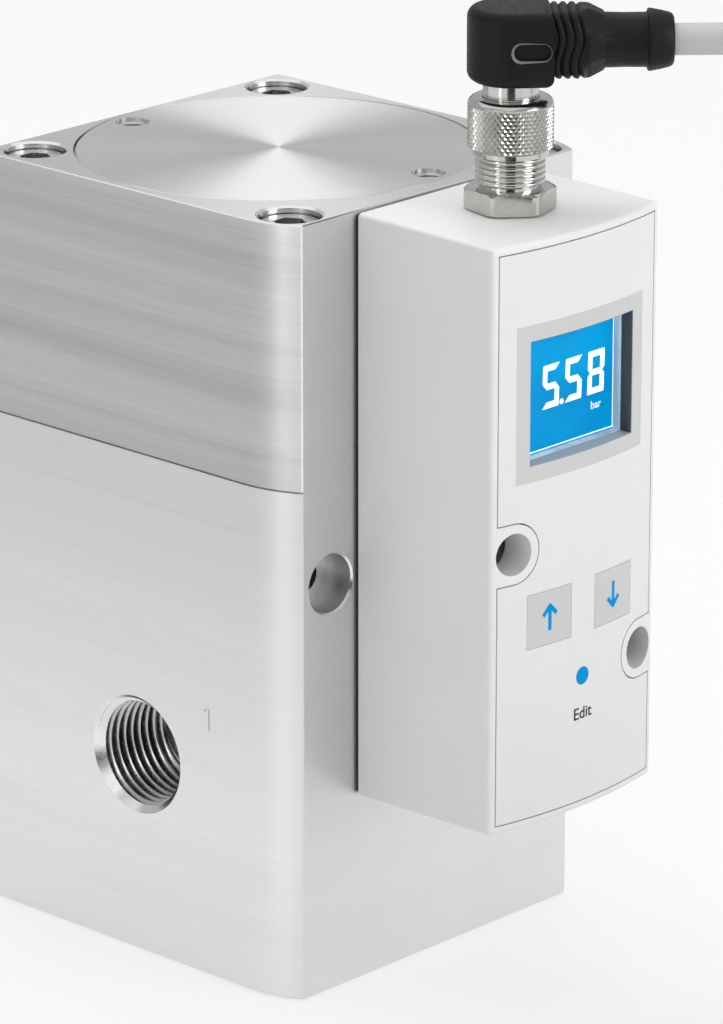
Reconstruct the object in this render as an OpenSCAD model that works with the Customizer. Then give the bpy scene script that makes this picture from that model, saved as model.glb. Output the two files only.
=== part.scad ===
// Electro pneumatic pressure regulator: a two-part aluminium valve block, a controller
// with a display and three keys on its front, and an angled round connector with its cable.
// Millimetres, +Z up. The origin is the valve axis on the underside, and -Y is the front.

/* [Block] */
// Diameter of the turned cap that closes the top
cap_d = 71.6; // [60:0.2:90]
// Land beside the cap, left and right
side_wall = 1.5; // [0.6:0.1:6]
// Land behind the cap
back_wall = 0.3; // [0.3:0.1:6]
// Land in front of the cap
front_wall = 2.7; // [1:0.1:8]
// Height of the lower block
body_h = 93.5; // [88:0.5:120]
// Height of the upper block
head_h = 47; // [40:0.5:70]
// Radius of the curve at each front corner
corner_r = 23; // [14:0.5:30]
// How far back each corner curve reaches
corner_len = 11.5; // [6:0.5:13]
// Depth and height of the shadow line at the seam
seam_line = 0.35; // [0.1:0.05:1]

/* [Ports] */
// Height of the side ports above the underside
port_z = 37; // [34:0.5:42]
// Side ports' offset from the valve axis, front to back
port_y = -0.8; // [-4:0.1:4]
// Core diameter of the half inch pipe thread
port_core_d = 18.631; // [14:0.001:20]
// Diameter of the thread's countersunk mouth
port_mouth_d = 21.8; // [20:0.1:26]
// Length of the threaded hole
port_depth = 16; // [12:0.5:18]
// Diameter of the way from the supply port to the valve
port_way_d = 14; // [8:0.5:14]
// Diameter of the slanted way to the outlet port
outlet_way_d = 11; // [6:0.5:12]
// Distance of that way from the outlet chamber's wall
way_margin = 1.5; // [1:0.1:3]

/* [Mounting] */
// Distance between the two mounting holes
mount_spacing = 55; // [52:0.5:58]
// Depth of the mounting holes below the seam
mount_drop = 18.2; // [16:0.1:19]
// Diameter of the mounting holes
mount_d = 5.5; // [4:0.1:6]
// Diameter of their counterbore on the front
mount_bore_d = 10.5; // [8:0.1:11]
// Depth of that counterbore
mount_bore_depth = 6; // [3:0.5:10]

/* [Cap and screws] */
// Thickness of the cap's flange
cap_t = 8; // [5:0.5:12]
// Gap around the cap
cap_gap = 0.2; // [0.1:0.05:0.5]
// Chamfer round the cap's upper edge
cap_chamfer = 0.4; // [0.1:0.1:1.5]
// Depth of the cap's spigot in the pilot chamber
cap_spigot = 8; // [6:0.5:14]
// Diameter of the two spanner holes
spanner_d = 6; // [3:0.1:7]
// Distance of the spanner holes from the cap's centre
spanner_r = 31.5; // [29:0.1:32]
// Depth of the spanner holes
spanner_depth = 5; // [2:0.5:6]
// Turn of the spanner holes from the right-hand side
spanner_turn = 99.6; // [0:0.1:180]
// Thread diameter of the head screws
screw_d = 6; // [5:0.5:7]
// Diameter of the screw heads
screw_head_d = 10; // [8:0.1:11]
// Height of the screw heads
screw_head_h = 6; // [4:0.5:8]
// Room round a screw head in its counterbore, across
screw_room = 1; // [0.4:0.1:1.4]
// Depth of the screw heads below the top
screw_sink = 1.3; // [0.3:0.1:4]
// Chamfer round each counterbore
screw_chamfer = 0.4; // [0.1:0.1:0.6]
// Wall between a counterbore and the side
screw_wall_x = 1.5; // [1.2:0.1:2]
// Wall between a counterbore and the front or back
screw_wall_y = 1; // [0.8:0.1:2]
// How far the screws reach into the lower block
screw_grip = 11; // [8:0.5:12]
// Width of the hexagon socket
screw_key = 5; // [4:0.5:6]
// Depth of the hexagon socket
screw_key_depth = 3.3; // [2:0.1:3.9]
// Room round the screws' shanks in the upper block
screw_clear = 0.3; // [0.2:0.05:0.6]

/* [Diaphragm] */
// Diameter of the pilot and feedback chambers
chamber_d = 54; // [48:0.5:56]
// Depth of the feedback chamber below the seam
feedback_depth = 11.5; // [10:0.5:13]
// Width of the diaphragm's clamped rim
clamp_w = 5; // [3:0.5:6]
// Thickness of the diaphragm
film_t = 1.2; // [0.8:0.1:1.6]
// Outer radius of the diaphragm's roll
roll_r = 3.6; // [2.5:0.1:4]
// Room between the roll and the chamber's wall
roll_gap = 0.2; // [0.1:0.05:0.5]
// Room between the roll and the plates
plate_gap = 0.4; // [0.3:0.05:0.6]
// Thickness of the plate above the diaphragm
upper_plate_t = 2; // [1:0.1:3]
// Thickness of the plate below the diaphragm
lower_plate_t = 2.5; // [1:0.1:4]
// Diameter of the control stem
stem_d = 7; // [6:0.1:8]
// Diameter of the stem's threaded end
stud_d = 5; // [4:0.1:5.5]
// Width across the flats of the plate nut
plate_nut_w = 8; // [7:0.5:10]
// Height of the plate nut
plate_nut_h = 4; // [3:0.5:6]
// How far the stem's end stands out of the plate nut
stud_end = 1; // [0.5:0.1:2]

/* [Main valve] */
// Diameter of the supply chamber
supply_d = 26; // [24:0.5:27]
// Height of the seat's underside above the side ports
seat_rise = 9; // [8:0.5:11]
// Diameter of the seat opening
seat_d = 16; // [13:0.5:17]
// Thickness of the seat's land
seat_land = 4; // [3:0.5:5]
// Diameter of the outlet chamber
outlet_d = 42; // [38:0.5:43]
// Height of the outlet chamber
outlet_h = 18; // [15:0.5:19]
// Ledge that carries the stem guide
guide_ledge = 2; // [1:0.1:2.2]
// Thickness of the stem guide
guide_t = 6; // [4:0.5:7]
// Diameter of the poppet's disc
poppet_d = 21; // [19:0.5:22]
// Thickness of the poppet's disc
poppet_t = 5; // [3:0.5:6]
// Diameter of the poppet's tail
tail_d = 12; // [9:0.1:12.5]
// Diameter of the vent bore in the poppet
vent_d = 4.4; // [3:0.1:5]
// Stroke of the poppet
poppet_stroke = 2; // [1:0.1:2.2]
// Room below the poppet's tail at full stroke
tail_gap = 0.5; // [0.3:0.1:0.7]
// Ledge round the supply chamber that stops the exhaust plug
plug_ledge = 2.5; // [1.5:0.1:4]
// Length of the exhaust plug
plug_len = 22; // [21:0.5:26]
// Depth of the exhaust port's thread
exhaust_depth = 14; // [11:0.5:14]
// Diameter of the two spanner holes in the exhaust plug
plug_key_d = 3; // [2:0.1:4]
// Depth of those holes
plug_key_depth = 4; // [2:0.5:6]
// Wall above the exhaust plug's seal
plug_seal_edge = 2; // [1:0.1:3]
// Wire diameter of the poppet's spring
spring_wire = 1.5; // [1:0.1:2]
// Turns of the poppet's spring
spring_turns = 5; // [3:1:7]
// Room between the spring and the poppet's tail
spring_gap = 0.6; // [0.4:0.1:1]
// Section of the round seals
seal_d = 1.6; // [1:0.1:2]

/* [Controller] */
// Width of the controller's housing
case_w = 42.4; // [41:0.1:50]
// Height of the housing
case_h = 105.3; // [103:0.1:120]
// Depth of the housing's top below the block's top
case_drop = 0.4; // [0:0.1:3]
// Depth of the housing at its edges, from the block
case_d = 31.1; // [29:0.1:36]
// How far the front bulges past the edges
case_bulge = 2.5; // [1.8:0.1:3.5]
// How far the top and underside taper to the front
case_taper = 0.5; // [0:0.1:1]
// Thickness of the side walls
case_wall = 2.2; // [1.8:0.1:2.4]
// Thickness of the top wall
case_top = 3; // [2:0.1:4]
// Thickness of the bottom wall
case_bottom = 2.5; // [2:0.1:4]
// Thickness of the seal between housing and block
gasket_t = 0.6; // [0.4:0.1:1.5]
// How far the seal stands back from the housing's edge
gasket_inset = 0.5; // [0.2:0.1:1]
// Radius of the screw bosses
boss_r = 5.3; // [4.8:0.1:5.5]
// Distance of the bosses from the housing's sides
boss_inset = 4.9; // [4.5:0.1:5.2]
// Depth of the left boss below the housing's top
boss_left_drop = 54.8; // [52:0.1:56]
// Depth of the right boss below the housing's top
boss_right_drop = 79.9; // [79:0.1:83]
// Diameter of the bosses' counterbore
boss_bore_d = 7.5; // [7.2:0.1:8.4]
// Depth of the screw heads in the bosses
boss_sink = 5.2; // [3:0.1:8]
// Thread diameter of the housing screws
case_screw_d = 4; // [3:0.1:4.5]
// Head diameter of the housing screws
case_head_d = 7; // [5.5:0.1:7]
// Head height of the housing screws
case_head_h = 4; // [2.5:0.1:5]
// Width of their hexagon sockets
case_key = 3; // [2:0.1:3.5]
// Depth of those sockets
case_key_depth = 2.4; // [1.5:0.1:2.4]
// Room round the housing screws, across
case_screw_room = 0.4; // [0.2:0.1:0.6]
// Grip of the housing screws in the block
case_grip = 9; // [6:0.5:11]

/* [Front panel] */
// Rim of the housing round the panel
panel_rim = 1.3; // [1:0.1:1.6]
// Gap round the panel
panel_gap = 0.25; // [0.1:0.05:0.4]
// Thickness of the panel
panel_t = 1.5; // [1:0.1:2]
// Width of the display's frame
frame_w = 32; // [30:0.2:34]
// Height of the display's frame
frame_h = 27.6; // [26:0.2:30]
// Gap round the display's frame
frame_gap = 0.03; // [0.02:0.01:0.2]
// Depth of the display's centre below the housing's top
frame_drop = 28.8; // [28:0.1:31]
// Width of the window
window_w = 26.2; // [22:0.2:27]
// Height of the window
window_h = 22; // [18:0.2:23]
// Wall of the frame's recess
recess_wall = 1.2; // [0.8:0.1:1.4]
// Width of the up and down keys
key_w = 10.3; // [8:0.1:11]
// Height of the up and down keys
key_h = 9.7; // [8:0.1:10]
// Distance of the keys from the middle
key_x = 8.2; // [7:0.1:8.6]
// Depth of the keys' centre below the housing's top
key_drop = 67.7; // [67:0.1:68.6]
// Diameter of the edit key
edit_d = 3.1; // [3:0.1:5]
// Depth of the edit key below the housing's top
edit_drop = 80.4; // [79:0.1:82]
// Gap round the keys
key_gap = 0.08; // [0.05:0.01:0.25]
// Diameter of the keys' stems
key_stem_d = 3; // [2.4:0.1:3]
// How far those stems reach into their switches
key_engage = 0.7; // [0.4:0.1:0.8]

/* [Electronics] */
// Distance of the circuit board from the block
board_y = 18.5; // [18:0.1:19.5]
// Thickness of the circuit board
board_t = 1.6; // [1:0.1:2]
// Gap round the circuit board
board_gap = 0.3; // [0.1:0.05:0.6]
// Distance of the board from the housing's floor
board_foot = 3; // [2:0.5:5]
// Distance of the board from the connector's shank
board_head = 1; // [0.5:0.1:2]
// Thickness of the display module
lcd_t = 8.3; // [7:0.1:8.5]
// Thickness of the clear display window
lens_t = 1.7; // [1:0.1:2.2]
// Height of the key switches
switch_t = 3.5; // [2.5:0.1:4]
// Width of the key switches
switch_w = 6; // [5.5:0.1:6.5]
// Depth of the hole in each key switch
switch_hole = 1.4; // [1.3:0.1:2]
// Width of each pilot valve
pilot_w = 15; // [12:0.5:15.5]
// Length of each pilot valve
pilot_len = 17; // [14:0.5:17.5]
// Distance of the pilot valves from the middle
pilot_x = 9.2; // [8.4:0.1:9.5]
// Height of the pilot valves above the seam
pilot_rise = 17.5; // [14:0.5:18]
// Diameter of the pilot plungers
plunger_d = 6; // [4:0.1:8]
// Wall between a plunger's bore and the block
pilot_bore = 2; // [1:0.1:3]
// Length of the pilot plungers
plunger_len = 9; // [7:0.5:9.5]
// Stroke of the pilot plungers
plunger_stroke = 0.5; // [0.2:0.1:0.8]
// Diameter of the pressure sensor
sensor_d = 12; // [8:0.5:13]
// Length of the pressure sensor
sensor_len = 12; // [8:0.5:15]
// Width of the controller chip
chip_w = 9; // [6:0.5:11]
// Thickness of the controller chip
chip_t = 1.5; // [0.8:0.1:2]
// Width of the two driver chips
driver_w = 6; // [4:0.5:6.5]
// Diameter of the two capacitors
capacitor_d = 8; // [5:0.5:9]
// Height of the two capacitors
capacitor_h = 10; // [6:0.5:12]
// Distance between the parts on the board
chip_gap = 1; // [0.5:0.1:2]
// Diameter of the small air drillings
drill_d = 2; // [1:0.1:3]

/* [Connector] */
// Distance of the connector's axis from the block
socket_y = 16; // [15:0.1:17]
// Outer diameter of the connector's thread
thread_d = 12; // [11:0.1:12.5]
// Height of the thread above the hexagon
thread_h = 9.2; // [8.5:0.1:10]
// Width across the hexagon's flats
hex_w = 14.2; // [13:0.1:17]
// Height of the hexagon
hex_h = 3.6; // [2.5:0.1:5]
// Turn of the hexagon
hex_turn = 18.5; // [0:0.5:60]
// How much is turned off the hexagon's corners
hex_corner = 0.29; // [0.1:0.01:0.5]
// Diameter of the connector's shank in the housing
shank_d = 13; // [12:0.1:13.6]
// Length of the shank below the housing's top
shank_len = 10; // [8:0.5:11]
// Inner diameter of the connector
socket_bore_d = 8.8; // [8:0.1:9.2]
// Width across the flats of the connector's lock nut
lock_w = 16; // [15:0.5:17]
// Height of the lock nut
lock_h = 3; // [2:0.5:4]
// Height of the contact carrier above the housing
carrier_h = 3; // [2:0.1:4]
// Diameter of the coupling nut
nut_d = 14.8; // [14:0.1:17]
// Height of the coupling nut
nut_h = 9.9; // [9.5:0.1:12]
// Gap between the hexagon and the coupling nut
nut_rise = 5.8; // [5:0.1:6]
// Thickness of the coupling nut's inner flange
nut_flange = 2.9; // [2:0.1:3]
// Height of the plain foot below the nut's knurl
nut_foot = 1; // [0.5:0.1:2]
// How far the foot stands back from the knurl
nut_step = 0.8; // [0.4:0.1:1]
// Chamfer at the nut's top
nut_edge = 1.1; // [0.4:0.1:1.6]
// Diameter of the plug's neck
neck_d = 9.5; // [9.4:0.1:9.8]
// Bare length of the neck above the nut
neck_gap = 2.7; // [2.2:0.1:4]
// Thickness of the neck's wall
neck_wall = 0.5; // [0.4:0.1:0.8]
// Room between the neck's collar and the parts that hold it
neck_room = 0.2; // [0.1:0.05:0.3]
// Number of contacts
pin_count = 5; // [3:1:8]
// Diameter of the contacts
pin_d = 1; // [0.8:0.1:1.2]
// Distance of the contacts from the connector's bore
pin_inset = 1.6; // [1.4:0.1:1.9]
// Depth of the contacts below the thread's end
pin_sink = 3; // [2:0.1:4]
// Gap between the contact carriers of connector and plug
insert_gap = 0.6; // [0.3:0.1:1]
// Height of the plug's angled body
elbow_h = 13; // [12:0.1:15]
// Radius of the plug's round end
elbow_r = 7.5; // [7:0.1:8.5]
// Edge rounding of the plug's body
elbow_edge = 1.8; // [0.8:0.1:2.4]
// Direction of the cable, from the right-hand side
elbow_turn = -45; // [-180:1:180]
// Length of the plug's head from its axis
elbow_head = 6.9; // [6:0.1:8]
// Length of the ribbed stretch
elbow_ribs = 5.3; // [4:0.1:7]
// Depth of the waves between the ribs
rib_depth = 1.4; // [0.6:0.1:2]
// Number of ribs
rib_count = 3; // [2:1:4]
// Length of the taper behind the ribs
elbow_taper = 3.2; // [2:0.1:5]
// Length of the strain relief up to its collar
relief_len = 7.8; // [5:0.1:10]
// Diameter of the strain relief
relief_d = 9.4; // [8:0.1:10]
// Length of the end collar
collar_len = 4.2; // [3:0.1:6]
// Diameter of the end collar
collar_d = 10.6; // [9.6:0.1:12]
// How much the end collar narrows
collar_lean = 1.6; // [0.4:0.1:3]
// Start of the slots in the plug's sides, from its axis
slot_from = 1.7; // [1:0.1:3]
// End of those slots
slot_to = 5; // [4:0.1:5.2]
// Depth of those slots below the cable's axis
slot_drop = 0.6; // [0:0.1:1]
// Width of those slots
slot_w = 3; // [2:0.1:4]
// Depth of those slots
slot_depth = 0.7; // [0.3:0.1:1.2]
// Height of the cable's axis in the plug
relief_z = 6.9; // [6.2:0.1:7]

/* [Cable] */
// Diameter of the cable
cable_d = 5.5; // [5:0.1:5.8]
// Distance from turn to turn in the coil
coil_pitch = 5.7; // [5.6:0.1:6]
// Radius at the middle of the coil's turns
coil_r = 32.5; // [30:0.1:34]
// Thickness of the coil's ties
tie_t = 0.8; // [0.5:0.1:0.8]
// Width of the coil's ties
tie_w = 5; // [3:0.5:6]
// Diameter of the cable's bare cores
core_d = 1.3; // [1:0.05:1.4]
// Angle that the bare cores cover on the coil
core_sweep = 55; // [30:1:65]
// Number of cores
core_count = 5; // [3:1:5]

/* [Hidden] */
$fn = 96;
// Small clearances: sliding fits, parts that are screwed or laid in, and faces that seal
fit = 0.05;
seat_gap = 0.05;
bore_gap = 0.1;
thread_gap = 0.05;
// Room behind and beside a seal in its groove, and between a seal and what slides in it
groove_back = 0.05;
groove_side = 0.1;
seal_slip = 0.02;
// Cutting tools overrun the faces they cut
over = 1;
// Points on each corner curve of the block
corner_points = 10;
// Points on each turn of the spring, and sides of its wire
spring_steps = 14;
spring_sides = 8;

// Block
cap_r = cap_d / 2;
recess_r = cap_r + cap_gap;
block_w = 2 * (recess_r + side_wall);
back_y = recess_r + back_wall;
front_y = -(recess_r + front_wall);
block_top = body_h + head_h;
mount_z = body_h - mount_drop;
curve_y = front_y + corner_len;
corner_sweep = asin(corner_len / corner_r);
port_chamfer = (port_mouth_d - port_core_d) / 2;

// Head screws
screw_bore_d = screw_head_d + screw_room;
screw_x = block_w / 2 - screw_bore_d / 2 - screw_wall_x;
screw_back = back_y - screw_bore_d / 2 - screw_wall_y;
screw_front = front_y + screw_bore_d / 2 + screw_wall_y;
screw_places = [
    [-screw_x, screw_back], [screw_x, screw_back],
    [-screw_x, screw_front], [screw_x, screw_front]
];
screw_top = block_top - screw_sink;
screw_seat = screw_top - screw_head_h;
screw_end = body_h - screw_grip;

// Chambers and diaphragm
chamber_r = chamber_d / 2;
chamber_top = block_top - cap_t;
cap_bottom = chamber_top - cap_spigot;
feedback_z = body_h - feedback_depth;
clamp_r = chamber_r + clamp_w;
film_z = body_h - film_t;
roll_centre = chamber_r - roll_r - roll_gap;
plate_r = roll_centre - roll_r - plate_gap;

// Main valve
plug_r = supply_d / 2 + plug_ledge;
seat_z = port_z + seat_rise;
outlet_z = seat_z + seat_land;
guide_z = outlet_z + outlet_h;
guide_r = outlet_d / 2 + guide_ledge;
poppet_top = seat_z - seat_gap;
poppet_bottom = poppet_top - poppet_t;
tail_bottom = exhaust_depth + poppet_stroke + tail_gap;
stem_bottom = poppet_top + bore_gap;
spring_r = tail_d / 2 + spring_wire / 2 + spring_gap;
spring_low = plug_len + seat_gap;
spring_high = poppet_bottom - seat_gap;
plug_seal_z = plug_len - plug_seal_edge - seal_d;
tail_seal_z = (exhaust_depth + plug_len) / 2;

// Controller: places are distances in front of the block's face
case_top_z = block_top - case_drop;
case_z = case_top_z - case_h;
frame_z = case_top_z - frame_drop;
key_z = case_top_z - key_drop;
edit_z = case_top_z - edit_drop;
case_apex = case_d + case_bulge;
front_r = (case_w * case_w / 4 + case_bulge * case_bulge) / (2 * case_bulge);
front_centre = front_y - case_apex + front_r;
cavity_w = case_w - 2 * case_wall;
cavity_low = case_z + case_bottom;
cavity_high = case_top_z - case_top;
panel_w = case_w - 2 * panel_rim - 2 * panel_gap;
panel_low = case_z + case_taper + panel_rim + panel_gap;
panel_high = case_top_z - case_taper - panel_rim - panel_gap;
boss_x = case_w / 2 - boss_inset;
boss_places = [[-1, case_top_z - boss_left_drop], [1, case_top_z - boss_right_drop]];
boss_mouth = case_apex - (front_r - sqrt(front_r * front_r - boss_x * boss_x));
case_head_y = boss_mouth - boss_sink;
board_front = board_y + board_t;
lcd_front = board_front + lcd_t;
lens_back = lcd_front + bore_gap;
switch_front = board_front + switch_t;
key_reach = switch_front - key_engage;
board_high = case_top_z - shank_len - board_head;
board_low = cavity_low + board_foot;
board_mid = (board_low + board_high) / 2;
pilot_z = body_h + pilot_rise;
sensor_z = outlet_z + outlet_h / 2;

// Connector: heights above the underside
socket_centre = front_y - socket_y;
hex_z = case_top_z;
thread_z = hex_z + hex_h;
thread_top = thread_z + thread_h;
nut_z = thread_z + nut_rise;
nut_top = nut_z + nut_h;
flange_z = nut_top - nut_flange;
neck_z = thread_top + 2 * neck_room;
elbow_z = nut_top + neck_gap;
pin_ring = socket_bore_d / 2 - pin_inset;
pin_top = thread_top - pin_sink;
insert_z = hex_z + carrier_h + insert_gap;
rib_x = elbow_head;
taper_x = rib_x + elbow_ribs;
relief_x = taper_x + elbow_taper;
collar_x = relief_x + relief_len;
cable_x = collar_x + collar_len;

// Cable route, chosen by hand: out of the plug, down, and along the surface to the coil
route = [
    [19.4, -74.1, 169], [22.6, -77.3, 169], [26.2, -80.9, 169], [29.7, -84.4, 168.8],
    [37.2, -91.9, 166.6], [43.6, -98.3, 160.6], [47.8, -102.5, 151.8], [49.3, -104, 141],
    [49.3, -104, 120], [49.3, -104, 98], [49.3, -104, 76], [49.3, -104, 54],
    [49.3, -104, 29], [49.3, -106, 19], [49.3, -111.6, 10.4], [49.3, -120, 4.8],
    [49.3, -130, 2.75], [49.3, -142, 2.8], [49.3, -153.5, 3.55]
];
route_sides = 10;
coil_place = [10.5, -153.5];
coil_layers = 4;
layer_turns = 2.2;
coil_outer = coil_r + layer_turns * coil_pitch / 2 + cable_d / 2;
coil_inner = coil_r - layer_turns * coil_pitch / 2 - cable_d / 2;
coil_top = tie_t + (coil_layers - 1) * coil_pitch + cable_d;
notch_floor = coil_top - cable_d;
notch_margin = 1.5;
notch_inner = coil_outer - cable_d - notch_margin;
notch_from = 68;
notch_sweep = 75;
tie_angles = [180, 300];
tie_room = 0.3;
core_inset = 0.8;
core_gap = 0.1;

// Functions

function unit(v) = v / norm(v);

// The block's outline seen from above, shrunk by an inset
function corner_curve(side, inset) = [
    for (i = [0 : corner_points])
        let (a = i * asin((corner_len - inset) / (corner_r - inset)) / corner_points)
        [
            side * (block_w / 2 - corner_r + (corner_r - inset) * cos(a)),
            curve_y - (corner_r - inset) * sin(a)
        ]
];
function backwards(list) = [for (i = [len(list) - 1 : -1 : 0]) list[i]];
function block_outline(inset = 0) = concat(
    [[-block_w / 2 + inset, back_y - inset]],
    corner_curve(-1, inset),
    backwards(corner_curve(1, inset)),
    [[block_w / 2 - inset, back_y - inset]]
);

// Directions along a line of points, and a side direction carried along it without twist
function along(pts, i) = unit(pts[min(i + 1, len(pts) - 1)] - pts[max(i - 1, 0)]);
function carried(pts, side, i = 0) =
    i >= len(pts) ? [] :
    let (t = along(pts, i), s = unit(side - (side * t) * t))
    concat([s], carried(pts, s, i + 1));

// Depth of the controller's front surface at a distance from its middle
function front_at(x) = case_apex - (front_r - sqrt(front_r * front_r - x * x));

// Shared shapes

// A tube of equal rings swept along a line of points
module swept(pts, r, sides, first_side) {
    n = len(pts);
    frames = carried(pts, first_side);
    rings = [
        for (i = [0 : n - 1])
            let (t = along(pts, i), s = frames[i], u = cross(t, s))
            for (k = [0 : sides - 1])
                let (a = 360 * k / sides)
                pts[i] + r * (cos(a) * s + sin(a) * u)
    ];
    skin = [
        for (i = [0 : n - 2], k = [0 : sides - 1])
            let (a = i * sides + k, b = i * sides + (k + 1) % sides)
            [a, a + sides, b + sides, b]
    ];
    start = [for (k = [0 : sides - 1]) k];
    end = [for (k = [sides - 1 : -1 : 0]) (n - 1) * sides + k];
    polyhedron(points = rings, faces = concat(skin, [start], [end]), convexity = 8);
}

// A stretch of the block between two heights
module block(low, high, inset = 0) {
    translate([0, 0, low]) linear_extrude(high - low) polygon(block_outline(inset));
}

// A round bar that runs forward from a depth to a greater depth in front of the block
module forward(x, z, d, from, to) {
    translate([x, front_y - from, z]) rotate([90, 0, 0]) cylinder(d = d, h = to - from);
}

// A box between two depths in front of the block, centred on a place
module forward_box(x, z, w, h, from, to) {
    translate([x - w / 2, front_y - to, z - h / 2]) cube([w, to - from, h]);
}

// Everything behind the controller's curved front, set back by a depth
module front_curve(back = 0) {
    translate([0, front_centre, case_z - over])
        cylinder(r = front_r - back, h = case_h + 2 * over, $fn = 240);
}

// A round seal of the common section
module seal_ring(r, z, section = seal_d) {
    translate([0, 0, z]) rotate_extrude() translate([r, 0]) circle(d = section, $fn = 32);
}

// A rounded rectangle about the origin
module rounded(w, h, r) {
    square([w - 2 * r, h], center = true);
    square([w, h - 2 * r], center = true);
    for (x = [-1, 1], y = [-1, 1])
        translate([x * (w / 2 - r), y * (h / 2 - r)]) circle(r = r, $fn = 48);
}

// Outline of a screw boss: round, and open to the housing's nearer side
module boss_shape(side, z, r, from, to) {
    forward(side * boss_x, z, 2 * r, from, to);
    forward_box(side * (boss_x + boss_inset / 2), z, boss_inset, 2 * r, from, to);
}

// A threaded port seen as its core, with the countersunk mouth at the origin facing -X
module port_cut() {
    rotate([0, 90, 0]) {
        translate([0, 0, -over]) cylinder(d = port_core_d, h = port_depth + over);
        cylinder(d1 = port_mouth_d, d2 = port_core_d, h = port_chamfer);
        translate([0, 0, -over]) cylinder(d = port_mouth_d, h = over);
    }
}

// Pneumatic parts

module valve_body() {
    way_low = [block_w / 2 - port_depth + outlet_way_d / 2, port_z];
    way_high = [outlet_d / 2 - outlet_way_d / 2 - way_margin, outlet_z + outlet_h / 2];
    way = way_high - way_low;
    color([0.78, 0.79, 0.79])
    difference() {
        union() {
            block(0, body_h - seam_line);
            block(body_h - seam_line, body_h, seam_line);
        }
        // Supply port on the left, outlet port on the right
        translate([-block_w / 2, port_y, port_z]) port_cut();
        translate([block_w / 2, port_y, port_z]) mirror([1, 0, 0]) port_cut();
        translate([-block_w / 2 + port_depth - over, port_y, port_z]) rotate([0, 90, 0])
            cylinder(d = port_way_d, h = block_w / 2 - port_depth);
        translate([way_low[0], port_y, way_low[1]]) rotate([0, atan2(way[0], way[1]), 0])
            cylinder(d = outlet_way_d, h = norm(way));
        // Valve bore from the underside, and the chambers from above
        translate([0, 0, -over]) cylinder(r = plug_r, h = plug_len + over);
        cylinder(d = supply_d, h = seat_z);
        cylinder(d = seat_d, h = outlet_z + over);
        translate([0, 0, outlet_z]) cylinder(d = outlet_d, h = outlet_h + over);
        translate([0, 0, guide_z]) cylinder(r = guide_r, h = body_h - guide_z);
        translate([0, 0, feedback_z]) cylinder(r = chamber_r, h = feedback_depth + over);
        translate([0, 0, film_z]) cylinder(r = clamp_r + bore_gap, h = film_t + over);
        // Two mounting holes from front to back, counterbored on the front
        for (side = [-1, 1]) {
            translate([side * mount_spacing / 2, back_y + over, mount_z]) rotate([90, 0, 0])
                cylinder(d = mount_d, h = back_y - front_y + 2 * over);
            translate([side * mount_spacing / 2, front_y + mount_bore_depth, mount_z]) rotate([90, 0, 0])
                cylinder(d = mount_bore_d, h = mount_bore_depth + over);
        }
        // Threads for the head screws and the housing screws, and the sensor's drilling
        for (place = screw_places)
            translate([place[0], place[1], screw_end - over])
                cylinder(r = screw_d / 2 + thread_gap, h = screw_grip + 2 * over);
        for (boss = boss_places)
            forward(boss[0] * boss_x, boss[1], case_screw_d + 2 * thread_gap, -case_grip - over, over);
        forward(0, sensor_z, drill_d, front_y + outlet_d / 2 - over, over);
    }
}

module pilot_head() {
    color([0.66, 0.67, 0.67])
    difference() {
        block(body_h, block_top);
        translate([0, 0, chamber_top]) cylinder(r = recess_r, h = cap_t + over);
        translate([0, 0, body_h - over]) cylinder(r = chamber_r, h = head_h);
        for (place = screw_places)
            translate([place[0], place[1], 0]) {
                translate([0, 0, body_h - over]) cylinder(r = screw_d / 2 + screw_clear, h = head_h);
                translate([0, 0, screw_seat]) cylinder(d = screw_bore_d, h = head_h);
                translate([0, 0, block_top - screw_chamfer])
                    cylinder(d1 = screw_bore_d, d2 = screw_bore_d + 2 * screw_chamfer, h = screw_chamfer);
            }
        // Air drillings from the two pilot valves
        for (side = [-1, 1])
            forward(side * pilot_x, pilot_z, drill_d, front_y + chamber_r / 2, over);
    }
}

module top_cap() {
    spigot_r = chamber_r - bore_gap;
    groove_r = spigot_r - seal_d - groove_back;
    groove_low = cap_bottom + cap_spigot / 2 - seal_d / 2 - groove_side;
    groove_high = groove_low + seal_d + 2 * groove_side;
    color([0.8, 0.8, 0.79])
    difference() {
        rotate_extrude() polygon([
            [0, cap_bottom], [spigot_r, cap_bottom], [spigot_r, groove_low], [groove_r, groove_low],
            [groove_r, groove_high], [spigot_r, groove_high], [spigot_r, chamber_top], [cap_r, chamber_top],
            [cap_r, block_top - cap_chamfer], [cap_r - cap_chamfer, block_top], [0, block_top]
        ]);
        for (turn = [0, 180])
            rotate(spanner_turn + turn) translate([spanner_r, 0, block_top - spanner_depth])
                cylinder(d = spanner_d, h = spanner_depth + over);
    }
}

module top_cap_seal() {
    color([0.1, 0.1, 0.1])
    seal_ring(chamber_r - bore_gap - seal_d / 2, cap_bottom + cap_spigot / 2);
}

module head_screws() {
    color([0.62, 0.63, 0.64])
    for (place = screw_places)
        translate([place[0], place[1], 0]) difference() {
            union() {
                translate([0, 0, screw_end]) cylinder(d = screw_d, h = screw_seat - screw_end);
                translate([0, 0, screw_seat]) cylinder(d = screw_head_d, h = screw_head_h);
            }
            translate([0, 0, screw_top - screw_key_depth])
                cylinder(d = screw_key / cos(30), h = screw_head_h, $fn = 6);
        }
}

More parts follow.
